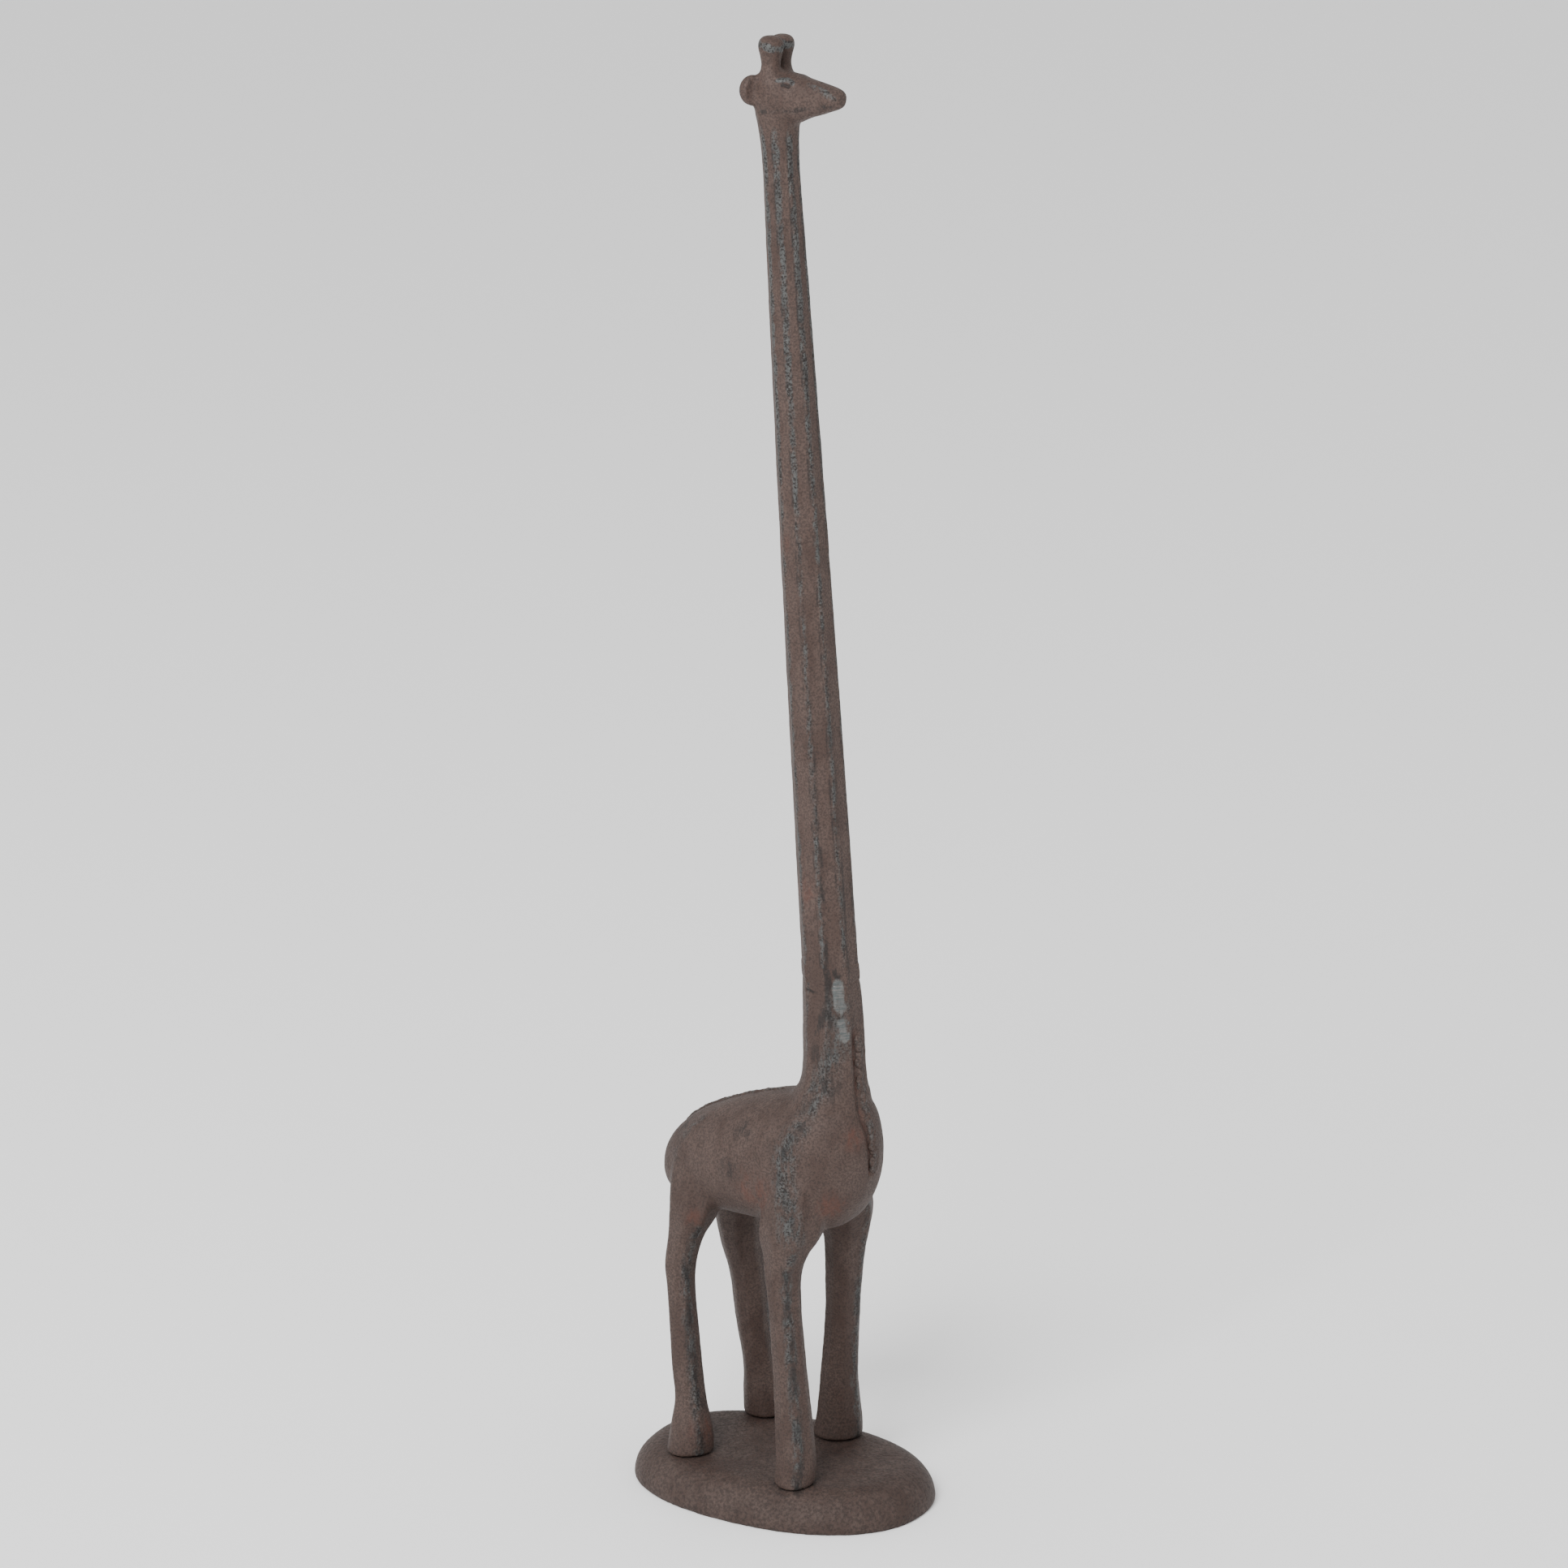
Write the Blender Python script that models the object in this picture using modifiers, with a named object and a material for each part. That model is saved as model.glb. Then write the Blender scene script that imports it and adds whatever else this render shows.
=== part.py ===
"""Cast iron giraffe stand.

A hollow body cast in two halves, each with its two legs, welded along the middle; a solid eight-sided neck
with the head cast on, let into the body by a spigot and welded round; and an oval foot, dished underneath,
that four screws hold to the hooves. The origin is the middle of the foot's underside, +Z is up and the
animal faces +X, so its right side is towards -Y.
"""

import math

import bmesh
import bpy
from mathutils import Matrix, Vector

MM = 0.001

# Clearances
SEAM_GAP = 0.0003
SCREW_CLEARANCE = 0.0003
SPIGOT_CLEARANCE = 0.0003

# Foot
BASE_LENGTH = 0.1072
BASE_WIDTH = 0.0746
BASE_HEIGHT = 0.0127
BASE_WALL = 0.0040
BASE_SHOULDER = 0.0118
BASE_SKIRT = 0.0010
BASE_SQUARENESS = 2.25
BASE_TURN = math.radians(4.6)
SEAT_RADIUS = 0.0066
SEAT_HEIGHT = 0.0014

# Screws and washers under the foot
SCREW_DIAMETER = 0.0050
SCREW_BITE = 0.0100
SCREW_HEAD_DIAMETER = 0.0088
SCREW_HEAD_HEIGHT = 0.0030
SCREW_SOCKET = 0.0030
WASHER_DIAMETER = 0.0100
WASHER_THICKNESS = 0.0010
HOLE_END_ROOM = 0.0008
WASHER_ROOM = 0.0006

# Body
LEG_HEIGHT = 0.0836
TORSO_LENGTH = 0.0808
TORSO_WIDTH = 0.0420
TORSO_DEPTH = 0.0470
TORSO_MIDDLE_X = -0.0040
TORSO_WALL = 0.0045
HIND_LEG_THICKNESS = 0.0102
FORE_LEG_THICKNESS = 0.0112
HOOF_DIAMETER = 0.0146
HOOF_SINK = 0.0050

# Neck and its joint
JOINT_HEIGHT = 0.1870
NECK_LENGTH = 0.2810
NECK_FOOT_X = 0.0189
NECK_TOP_X = -0.0023
NECK_FOOT_FLATS = 0.0178
NECK_TOP_FLATS = 0.0107
NECK_BELLY = 0.0008
NECK_FLARE = 0.0036
NECK_FLARE_LENGTH = 0.0190
NAPE_FLATS = 0.0125
NAPE_RISE = 0.0053
SPIGOT_DIAMETER = 0.0090
SPIGOT_LENGTH = 0.0140
JOINT_WELD_HEIGHT = 0.0052
JOINT_WELD_DEPTH = 0.0024
JOINT_WELD_PROUD = 0.0005
JOINT_WELD_LIP = 0.0003

# Seam beads
CHEST_BEAD_RADIUS = 0.0017
BACK_BEAD_RADIUS = 0.0011
BELLY_BEAD_RADIUS = 0.0011
CHEST_BEAD_TOP = 0.0200
CHEST_BEAD_LENGTH = 0.0490

# Head
HEAD_LENGTH = 0.0333
HEAD_DEPTH = 0.0160
HEAD_WIDTH = 0.0156
HEAD_BACK_X = -0.0105
EAR_LENGTH = 0.0088
EAR_HEIGHT = 0.0100
EAR_THICKNESS = 0.0056
EAR_SPLAY = math.radians(32)
EAR_X = -0.0066
EAR_SPREAD = 0.0148
EAR_RISE = 0.0076
HORN_HEIGHT = 0.0120
HORN_ROOT_RISE = 0.0126
HORN_DIAMETER = 0.0074
HORN_SPREAD = 0.0078
HORN_X = -0.0028

# Shape of the torso from rump to chest: place along it (-1 to 1), top and underside (0 to 1 of the
# depth) and width (0 to 1 of the whole).
TORSO_SHAPE = (
    (-1.00, 0.35, 0.21, 0.17),
    (-0.97, 0.43, 0.12, 0.40),
    (-0.88, 0.55, 0.05, 0.62),
    (-0.70, 0.68, 0.01, 0.81),
    (-0.41, 0.81, 0.00, 0.95),
    (-0.07, 0.92, 0.00, 1.00),
    (0.22, 0.99, 0.00, 1.00),
    (0.47, 1.05, 0.02, 0.95),
    (0.66, 1.07, 0.04, 0.83),
    (0.83, 1.04, 0.15, 0.66),
    (0.94, 0.90, 0.31, 0.44),
    (1.00, 0.72, 0.50, 0.17),
)

# Shape of each leg from hoof to top: height (0 at the foot's top, 1 at the belly), X and Y of its middle
# in millimetres, share of the leg's own thickness and share of the hoof's diameter.
LEG_SHAPES = {
    "right_hind": (
        (0.00, -25.4, -18.6, 0.0, 1.06),
        (0.10, -24.9, -18.5, 0.0, 0.98),
        (0.22, -25.6, -18.0, 0.65, 0.28),
        (0.33, -27.0, -17.6, 1.02, 0.0),
        (0.48, -28.6, -17.0, 0.98, 0.0),
        (0.66, -30.8, -15.9, 0.94, 0.0),
        (0.78, -31.6, -15.1, 1.04, 0.0),
        (0.90, -29.9, -14.2, 1.20, 0.0),
        (1.00, -27.8, -12.8, 1.62, 0.0),
        (1.16, -27.0, -10.0, 1.90, 0.0),
        (1.30, -27.0, -8.0, 1.60, 0.0),
    ),
    "right_fore": (
        (0.00, 19.3, -20.6, 0.0, 0.93),
        (0.10, 20.0, -20.6, 0.0, 0.90),
        (0.25, 19.0, -20.4, 0.85, 0.20),
        (0.45, 17.3, -20.0, 1.00, 0.0),
        (0.60, 15.5, -19.3, 0.97, 0.0),
        (0.75, 13.6, -18.3, 0.97, 0.0),
        (0.86, 12.5, -17.4, 1.08, 0.0),
        (0.94, 12.8, -16.2, 1.34, 0.0),
        (1.03, 13.4, -14.0, 1.86, 0.0),
        (1.20, 13.5, -11.0, 1.85, 0.0),
        (1.40, 15.0, -8.0, 1.60, 0.0),
    ),
    "left_fore": (
        (0.00, 6.5, 22.2, 0.0, 1.14),
        (0.10, 7.3, 22.0, 0.0, 1.03),
        (0.25, 7.9, 21.0, 0.85, 0.22),
        (0.42, 9.4, 19.9, 1.06, 0.0),
        (0.60, 11.2, 18.5, 1.04, 0.0),
        (0.82, 13.5, 16.2, 1.18, 0.0),
        (0.93, 14.8, 15.0, 1.38, 0.0),
        (1.05, 15.0, 13.0, 1.76, 0.0),
        (1.20, 14.0, 10.5, 1.85, 0.0),
        (1.40, 15.0, 8.0, 1.60, 0.0),
    ),
    "left_hind": (
        (0.00, -24.6, 23.4, 0.0, 1.00),
        (0.10, -25.2, 23.1, 0.0, 0.93),
        (0.22, -26.6, 22.3, 0.65, 0.28),
        (0.36, -27.6, 20.9, 1.08, 0.0),
        (0.50, -27.6, 18.9, 1.14, 0.0),
        (0.62, -27.6, 17.3, 1.18, 0.0),
        (0.75, -28.9, 15.6, 1.32, 0.0),
        (0.88, -29.0, 14.2, 1.56, 0.0),
        (1.00, -27.8, 12.5, 1.90, 0.0),
        (1.16, -27.0, 10.0, 1.95, 0.0),
        (1.30, -27.0, 8.0, 1.60, 0.0),
    ),
}

# Shape of the neck stub from the joint down into the body: drop below the joint, X of its middle, size
# along X and along Y, in millimetres.
STUB_SHAPE = (
    (7.0, 19.5, 18.6, 18.6),
    (22.0, 20.3, 19.6, 19.6),
    (32.0, 20.6, 20.0, 20.6),
    (39.0, 20.4, 21.6, 23.0),
    (44.0, 19.2, 26.0, 26.0),
    (60.0, 14.5, 36.0, 32.0),
)

# Shape of the head from the back of the skull to the lips: place along it, height of its middle above
# the neck's top in millimetres, width and depth against the head's own.
HEAD_SHAPE = (
    (0.00, 6.5, 0.38, 0.40),
    (0.06, 6.2, 0.77, 0.76),
    (0.19, 6.0, 1.00, 1.00),
    (0.33, 5.7, 1.00, 0.97),
    (0.48, 5.2, 0.89, 0.94),
    (0.63, 5.6, 0.75, 0.75),
    (0.77, 6.1, 0.64, 0.60),
    (0.90, 6.4, 0.55, 0.45),
    (0.97, 6.4, 0.42, 0.32),
    (1.00, 6.3, 0.22, 0.16),
)

# Shape of a horn from its root to its tip: height against its own and thickness against its own.
HORN_SHAPE = ((-0.15, 1.15), (0.08, 0.94), (0.30, 0.82), (0.52, 0.88), (0.74, 1.00), (0.91, 0.88), (1.0, 0.45))

# How square the sections are: 2 is an ellipse, less is nearer a diamond, more is nearer a box
TORSO_SQUARENESS = 2.25
LEG_SQUARENESS = 1.9
HEAD_SQUARENESS = 2.1

BASE_SIDES = 48
TORSO_SIDES = 28
LEG_SIDES = 12
HEAD_SIDES = 16
BEAD_SIDES = 8
ROUND_SIDES = 20
DOME_STEPS = 7
CHEST_BEAD_STEPS = 12
NECK_STEPS = 6

BELLY_HEIGHT = BASE_HEIGHT + LEG_HEIGHT
NECK_TOP = JOINT_HEIGHT + NECK_LENGTH
SEAT_LEVEL = BASE_HEIGHT - BASE_WALL - SEAT_HEIGHT
WASHER_TOP = SEAT_LEVEL - SEAM_GAP
HEAD_TOP = WASHER_TOP - WASHER_THICKNESS - SEAM_GAP


def clear_scene():
    for item in list(bpy.data.objects):
        bpy.data.objects.remove(item, do_unlink=True)


def new_collection(name, hidden):
    collection = bpy.data.collections.new(name)
    bpy.context.scene.collection.children.link(collection)
    collection.hide_render = hidden
    return collection


def new_material(name, colour, roughness, metallic):
    material = bpy.data.materials.new(name)
    material.use_nodes = True
    shader = material.node_tree.nodes["Principled BSDF"]
    shader.inputs["Base Color"].default_value = (*colour, 1.0)
    shader.inputs["Roughness"].default_value = roughness
    shader.inputs["Metallic"].default_value = metallic
    return material


clear_scene()
PARTS = new_collection("giraffe_stand", False)
CUTTERS = new_collection("cutters", True)
CAST_IRON = new_material("cast_iron", (0.125, 0.085, 0.070), 0.70, 0.35)
WELD_METAL = new_material("weld_metal", (0.100, 0.085, 0.080), 0.62, 0.50)
ZINC_STEEL = new_material("zinc_steel", (0.45, 0.46, 0.47), 0.38, 1.00)


# --- Sections and lofts ---


def blend(a, b, c, d, t):
    """Smooth value between b and c, by the Catmull-Rom rule."""
    return 0.5 * (2 * b + (c - a) * t + (2 * a - 5 * b + 4 * c - d) * t**2 + (3 * b - a - 3 * c + d) * t**3)


def smoothed(stations, per_span):
    """Stations with per_span - 1 more between each pair, on a smooth curve through them."""
    last = len(stations) - 1
    result = []
    for i in range(last):
        near = [stations[max(0, min(last, i + k))] for k in (-1, 0, 1, 2)]
        for step in range(per_span):
            t = step / per_span
            result.append(tuple(blend(*values, t) for values in zip(*near)))
    result.append(stations[-1])
    return result


def at_key(stations, key):
    """The station at the first value's key, by straight lines between neighbours."""
    for low, high in zip(stations, stations[1:]):
        if min(low[0], high[0]) <= key <= max(low[0], high[0]):
            t = (key - low[0]) / (high[0] - low[0])
            return tuple(a + (b - a) * t for a, b in zip(low, high))
    return stations[0] if abs(key - stations[0][0]) < abs(key - stations[-1][0]) else stations[-1]


def power_ring(centre, along, across, size_along, size_across, power, count):
    """Points round centre on a superellipse; a power of 2 gives an ellipse."""
    ring = []
    for i in range(count):
        angle = 2 * math.pi * i / count
        c, s = math.cos(angle), math.sin(angle)
        u = math.copysign(abs(c) ** (2 / power), c) * size_along / 2
        v = math.copysign(abs(s) ** (2 / power), s) * size_across / 2
        ring.append(centre + along * u + across * v)
    return ring


def level_ring(centre, size, power):
    return power_ring(centre, Vector((1, 0, 0)), Vector((0, 1, 0)), size, size, power, LEG_SIDES)


def octagon_ring(centre, size_x, size_y):
    """Level eight-sided ring with flats to the front, back and sides."""
    reach = 1 / math.cos(math.pi / 8)
    angles = [math.pi / 8 + i * math.pi / 4 for i in range(8)]
    return [
        centre + Vector((math.cos(a) * reach * size_x / 2, math.sin(a) * reach * size_y / 2, 0))
        for a in angles
    ]


def loft(name, rings, collection, material=None, endless=False):
    """One closed body through rings of equal length, capped at both ends or joined round."""
    mesh = bmesh.new()
    loops = [[mesh.verts.new(point) for point in ring] for ring in rings]
    pairs = list(zip(loops, loops[1:] + loops[:1])) if endless else list(zip(loops, loops[1:]))
    for low, high in pairs:
        for i in range(len(low)):
            k = (i + 1) % len(low)
            mesh.faces.new((low[i], low[k], high[k], high[i]))
    if not endless:
        mesh.faces.new(loops[0][::-1])
        mesh.faces.new(loops[-1])
    return finish_mesh(name, mesh, collection, material)


def finish_mesh(name, mesh, collection, material):
    bmesh.ops.recalc_face_normals(mesh, faces=mesh.faces)
    data = bpy.data.meshes.new(name)
    mesh.to_mesh(data)
    mesh.free()
    data.shade_smooth()
    data.set_sharp_from_angle(angle=math.radians(35))
    item = bpy.data.objects.new(name, data)
    collection.objects.link(item)
    if material:
        data.materials.append(material)
    if collection is CUTTERS:
        item.hide_render = True
        item.display_type = "WIRE"
    return item


def cylinder(name, x, y, low, high, radius, collection=None):
    mesh = bmesh.new()
    bmesh.ops.create_cone(
        mesh, cap_ends=True, segments=ROUND_SIDES, radius1=radius, radius2=radius, depth=high - low
    )
    bmesh.ops.translate(mesh, verts=mesh.verts, vec=(x, y, (low + high) / 2))
    return finish_mesh(name, mesh, collection or CUTTERS, None)


def boolean(item, other, operation):
    modifier = item.modifiers.new(other.name, "BOOLEAN")
    modifier.operation = operation
    modifier.object = other


# --- Foot ---


def base_ring(inset, level):
    """Level ring of the foot's outline, drawn in by inset."""
    along = Vector((math.cos(BASE_TURN), math.sin(BASE_TURN), 0))
    across = Vector((-math.sin(BASE_TURN), math.cos(BASE_TURN), 0))
    size = (BASE_LENGTH - 2 * inset, BASE_WIDTH - 2 * inset)
    return power_ring(Vector((0, 0, level)), along, across, *size, BASE_SQUARENESS, BASE_SIDES)


def dome_rings(grow, floor):
    """Rings of the foot's dome, offset outwards by grow, from the floor up over its round shoulder."""
    rings = [base_ring(-grow, floor)]
    for i in range(DOME_STEPS + 1):
        angle = math.pi / 2 * i / DOME_STEPS
        inset = BASE_SHOULDER * (1 - math.cos(angle))
        level = BASE_SKIRT + (BASE_HEIGHT - BASE_SKIRT) * math.sin(angle)
        rings.append(base_ring(inset - grow * math.cos(angle), level + grow * math.sin(angle)))
    return rings


def foot_point(leg):
    """X and Y of the middle of a hoof's sole."""
    _, x, y, _, _ = LEG_SHAPES[leg][0]
    return x * MM, y * MM


def build_base():
    base = loft("base_plate", dome_rings(0, 0), PARTS, CAST_IRON)
    hollow = loft("base_hollow", dome_rings(-BASE_WALL, -BASE_WALL), CUTTERS)
    for leg in LEG_SHAPES:
        seat = cylinder("seat_" + leg, *foot_point(leg), SEAT_LEVEL, BASE_HEIGHT, SEAT_RADIUS)
        boolean(hollow, seat, "DIFFERENCE")
    boolean(base, hollow, "DIFFERENCE")
    hole_radius = SCREW_DIAMETER / 2 + SCREW_CLEARANCE
    for leg in LEG_SHAPES:
        x, y = foot_point(leg)
        room = cylinder("washer_room_" + leg, x, y, -BASE_WALL, SEAT_LEVEL, WASHER_DIAMETER / 2 + WASHER_ROOM)
        hole = cylinder("base_hole_" + leg, x, y, -BASE_WALL, BASE_HEIGHT + BASE_WALL, hole_radius)
        boolean(base, room, "DIFFERENCE")
        boolean(base, hole, "DIFFERENCE")


# --- Screws and washers ---


def turned(name, profile, x, y, material):
    """Body turned about a vertical axis at x, y from points of radius and height, top to bottom."""
    data = bpy.data.meshes.new(name)
    edges = [(i, i + 1) for i in range(len(profile) - 1)]
    data.from_pydata([(radius, 0, level) for radius, level in profile], edges, [])
    item = bpy.data.objects.new(name, data)
    item.location = (x, y, 0)
    PARTS.objects.link(item)
    data.materials.append(material)
    screw = item.modifiers.new("turn", "SCREW")
    screw.axis = "Z"
    screw.steps = ROUND_SIDES
    screw.render_steps = ROUND_SIDES
    screw.use_merge_vertices = True
    screw.merge_threshold = 1e-6
    return item


def build_screw(leg):
    x, y = foot_point(leg)
    shank, head = SCREW_DIAMETER / 2, SCREW_HEAD_DIAMETER / 2
    tip = BASE_HEIGHT + SCREW_BITE
    chamfer = shank / 3
    profile = [
        (0, tip),
        (shank - chamfer, tip),
        (shank, tip - chamfer),
        (shank, HEAD_TOP),
        (head, HEAD_TOP),
        (head, HEAD_TOP - SCREW_HEAD_HEIGHT + chamfer),
        (head - chamfer, HEAD_TOP - SCREW_HEAD_HEIGHT),
        (0, HEAD_TOP - SCREW_HEAD_HEIGHT),
    ]
    screw = turned("base_screw_" + leg, profile, x, y, ZINC_STEEL)
    mesh = bmesh.new()
    socket_radius = SCREW_SOCKET / 2 / math.cos(math.pi / 6)
    bmesh.ops.create_cone(
        mesh, cap_ends=True, segments=6, radius1=socket_radius, radius2=socket_radius, depth=SCREW_HEAD_HEIGHT
    )
    bmesh.ops.translate(mesh, verts=mesh.verts, vec=(x, y, HEAD_TOP - SCREW_HEAD_HEIGHT))
    boolean(screw, finish_mesh("screw_socket_" + leg, mesh, CUTTERS, None), "DIFFERENCE")


def build_washer(leg):
    x, y = foot_point(leg)
    inner, outer = SCREW_DIAMETER / 2 + SCREW_CLEARANCE, WASHER_DIAMETER / 2
    low = WASHER_TOP - WASHER_THICKNESS
    profile = [(inner, WASHER_TOP), (outer, WASHER_TOP), (outer, low), (inner, low), (inner, WASHER_TOP)]
    turned("washer_" + leg, profile, x, y, ZINC_STEEL)


# --- Body ---


def torso_stations():
    """X, top, underside and width of the torso from rump to chest, in metres."""
    return [
        (
            TORSO_MIDDLE_X + along * TORSO_LENGTH / 2,
            BELLY_HEIGHT + top * TORSO_DEPTH,
            BELLY_HEIGHT + under * TORSO_DEPTH,
            width * TORSO_WIDTH,
        )
        for along, top, under, width in smoothed(TORSO_SHAPE, 2)
    ]


def torso_rings(inset):
    along, up = Vector((0, 1, 0)), Vector((0, 0, 1))
    stations = torso_stations()
    first, last = stations[0][0] + inset, stations[-1][0] - inset
    rings = []
    for x, top, under, width in stations:
        depth = top - under - 2 * inset
        if not first <= x <= last or min(depth, width - 2 * inset) < TORSO_WALL:
            continue
        centre = Vector((x, 0, (top + under) / 2))
        rings.append(power_ring(centre, along, up, width - 2 * inset, depth, TORSO_SQUARENESS, TORSO_SIDES))
    return rings


def stub_stations():
    """Height, X of the middle, size along X and along Y of the neck stub, from the joint down."""
    joint = (JOINT_HEIGHT - SEAM_GAP / 2, NECK_FOOT_X, NECK_FOOT_FLATS, NECK_FOOT_FLATS)
    lower = [(JOINT_HEIGHT - drop * MM, x * MM, sx * MM, sy * MM) for drop, x, sx, sy in STUB_SHAPE]
    return [joint] + lower


def build_leg(leg):
    """One leg as a tapered bar with a blunt ridge on each side, flared into a hoof."""
    own = HIND_LEG_THICKNESS if leg.endswith("hind") else FORE_LEG_THICKNESS
    rings = []
    for height, x, y, share, hoof in smoothed(LEG_SHAPES[leg], 2):
        level = BASE_HEIGHT + height * LEG_HEIGHT
        size = share * own + hoof * HOOF_DIAMETER
        centre = Vector((x * MM, y * MM, level))
        rings.append(level_ring(centre, size, LEG_SQUARENESS))
    sole = [point - Vector((0, 0, HOOF_SINK)) for point in rings[0]]
    return loft("leg_" + leg, [sole] + rings, CUTTERS)


def chest_edge(level):
    """X of the body's front edge at a level, on the middle plane."""
    _, x, size, _ = at_key(stub_stations(), level)
    breast = [(top, front) for front, top, _, _ in torso_stations() if front > NECK_FOOT_X]
    return max(x + size / 2, at_key(breast, level)[1]) if level < breast[0][0] else x + size / 2


def bead_rings(path, radius):
    """Round sections along a path of X and Z points on the middle plane."""
    points = [Vector((x, 0, z)) for x, z in path]
    rings = []
    for i, point in enumerate(points):
        ahead = points[min(i + 1, len(points) - 1)] - points[max(i - 1, 0)]
        side = ahead.normalized().cross(Vector((0, 1, 0)))
        rings.append(power_ring(point, side, Vector((0, 1, 0)), 2 * radius, 2 * radius, 2, BEAD_SIDES))
    return rings


def seam_paths():
    """Path and radius of each bead: down the chest, along the back and rump, and along the belly."""
    top = JOINT_HEIGHT - CHEST_BEAD_TOP
    levels = [top - CHEST_BEAD_LENGTH * i / CHEST_BEAD_STEPS for i in range(CHEST_BEAD_STEPS + 1)]
    stations = torso_stations()
    rump = stations[0]
    withers = NECK_FOOT_X - NECK_FOOT_FLATS
    back = [(x, high) for x, high, _, _ in reversed(stations) if x < withers]
    back.append((rump[0], rump[2]))
    breast = NECK_FOOT_X + NECK_FOOT_FLATS / 2
    belly = [(x, low) for x, _, low, width in stations if width > TORSO_WIDTH / 2 and x < breast]
    return {
        "chest_seam_weld": ([(chest_edge(level), level) for level in levels], CHEST_BEAD_RADIUS),
        "back_seam_weld": (back, BACK_BEAD_RADIUS),
        "belly_seam_weld": (belly, BELLY_BEAD_RADIUS),
    }


def build_half(name, side, legs, shared):
    """One body half: torso, stub and its own legs, less the hollow, the other side and all the fits."""
    hole_top, hole_radius = BASE_HEIGHT + SCREW_BITE + HOLE_END_ROOM, SCREW_DIAMETER / 2 + SCREW_CLEARANCE
    half = loft(name, torso_rings(0), PARTS, CAST_IRON)
    boolean(half, shared["stub"], "UNION")
    for leg in legs:
        boolean(half, build_leg(leg), "UNION")
    boolean(half, shared["hollow"], "DIFFERENCE")
    boolean(half, half_space(name + "_side", side), "INTERSECT")
    boolean(half, shared["socket"], "DIFFERENCE")
    boolean(half, shared["joint_groove"], "DIFFERENCE")
    boolean(half, shared["base_envelope"], "DIFFERENCE")
    for groove in shared["seam_grooves"]:
        boolean(half, groove, "DIFFERENCE")
    for leg in legs:
        hole = cylinder("hoof_hole_" + leg, *foot_point(leg), 0, hole_top, hole_radius)
        boolean(half, hole, "DIFFERENCE")


def half_space(name, side):
    """Block that holds everything on one side of the middle plane, half a seam gap away from it."""
    reach = JOINT_HEIGHT + TORSO_LENGTH
    mesh = bmesh.new()
    bmesh.ops.create_cube(mesh, size=1)
    bmesh.ops.scale(mesh, verts=mesh.verts, vec=(reach, reach, 2 * reach))
    bmesh.ops.translate(mesh, verts=mesh.verts, vec=(0, side * (reach / 2 + SEAM_GAP / 2), 0))
    return finish_mesh(name, mesh, CUTTERS, None)


def build_body():
    stub_rings = [octagon_ring(Vector((x, 0, z)), sx, sy) for z, x, sx, sy in stub_stations()]
    socket_radius = SPIGOT_DIAMETER / 2 + SPIGOT_CLEARANCE
    socket_floor = JOINT_HEIGHT - SPIGOT_LENGTH - SEAM_GAP
    paths = seam_paths()
    shared = {
        "stub": loft("neck_stub", stub_rings, CUTTERS),
        "hollow": loft("torso_hollow", torso_rings(TORSO_WALL), CUTTERS),
        "socket": cylinder(
            "spigot_socket", NECK_FOOT_X, 0, socket_floor, JOINT_HEIGHT + SPIGOT_LENGTH, socket_radius
        ),
        "joint_groove": joint_ring("joint_groove", SEAM_GAP, CUTTERS, None),
        "base_envelope": loft("base_envelope", dome_rings(SEAM_GAP, -BASE_WALL), CUTTERS),
        "seam_grooves": [
            loft("groove_" + name, bead_rings(path, radius + SEAM_GAP), CUTTERS)
            for name, (path, radius) in paths.items()
        ],
    }
    build_half("body_right_half", -1, ("right_hind", "right_fore"), shared)
    build_half("body_left_half", 1, ("left_hind", "left_fore"), shared)
    for name, (path, radius) in paths.items():
        loft(name, bead_rings(path, radius), PARTS, WELD_METAL)


# --- Neck, head and the joint weld ---


def neck_at(level):
    """X of the middle and the size across flats of the neck at a level, barrelled and flared to the head."""
    t = (level - JOINT_HEIGHT) / NECK_LENGTH
    x = NECK_FOOT_X + (NECK_TOP_X - NECK_FOOT_X) * t
    flats = NECK_FOOT_FLATS + (NECK_TOP_FLATS - NECK_FOOT_FLATS) * t
    belly = NECK_BELLY * 4 * max(t, 0) * max(1 - t, 0)
    flare = NECK_FLARE * max(0, 1 - (NECK_TOP - level) / NECK_FLARE_LENGTH) ** 2
    return x, flats + belly + flare


def joint_ring(name, grow, collection, material):
    """Ring of weld metal that fills the V between neck and stub, each face moved out by grow."""
    half = JOINT_WELD_HEIGHT / 2 - SEAM_GAP + grow
    inner = JOINT_WELD_DEPTH - SEAM_GAP + grow
    lip, outer = JOINT_WELD_LIP + grow, JOINT_WELD_PROUD + grow
    section = ((half, lip), (half / 2, outer), (-half / 2, outer), (-half, lip), (0, -inner))
    rings = []
    for rise, out in section:
        x, flats = neck_at(JOINT_HEIGHT + rise)
        size = flats + 2 * out
        rings.append(octagon_ring(Vector((x, 0, JOINT_HEIGHT + rise)), size, size))
    return loft(name, rings, collection, material, endless=True)


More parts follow.
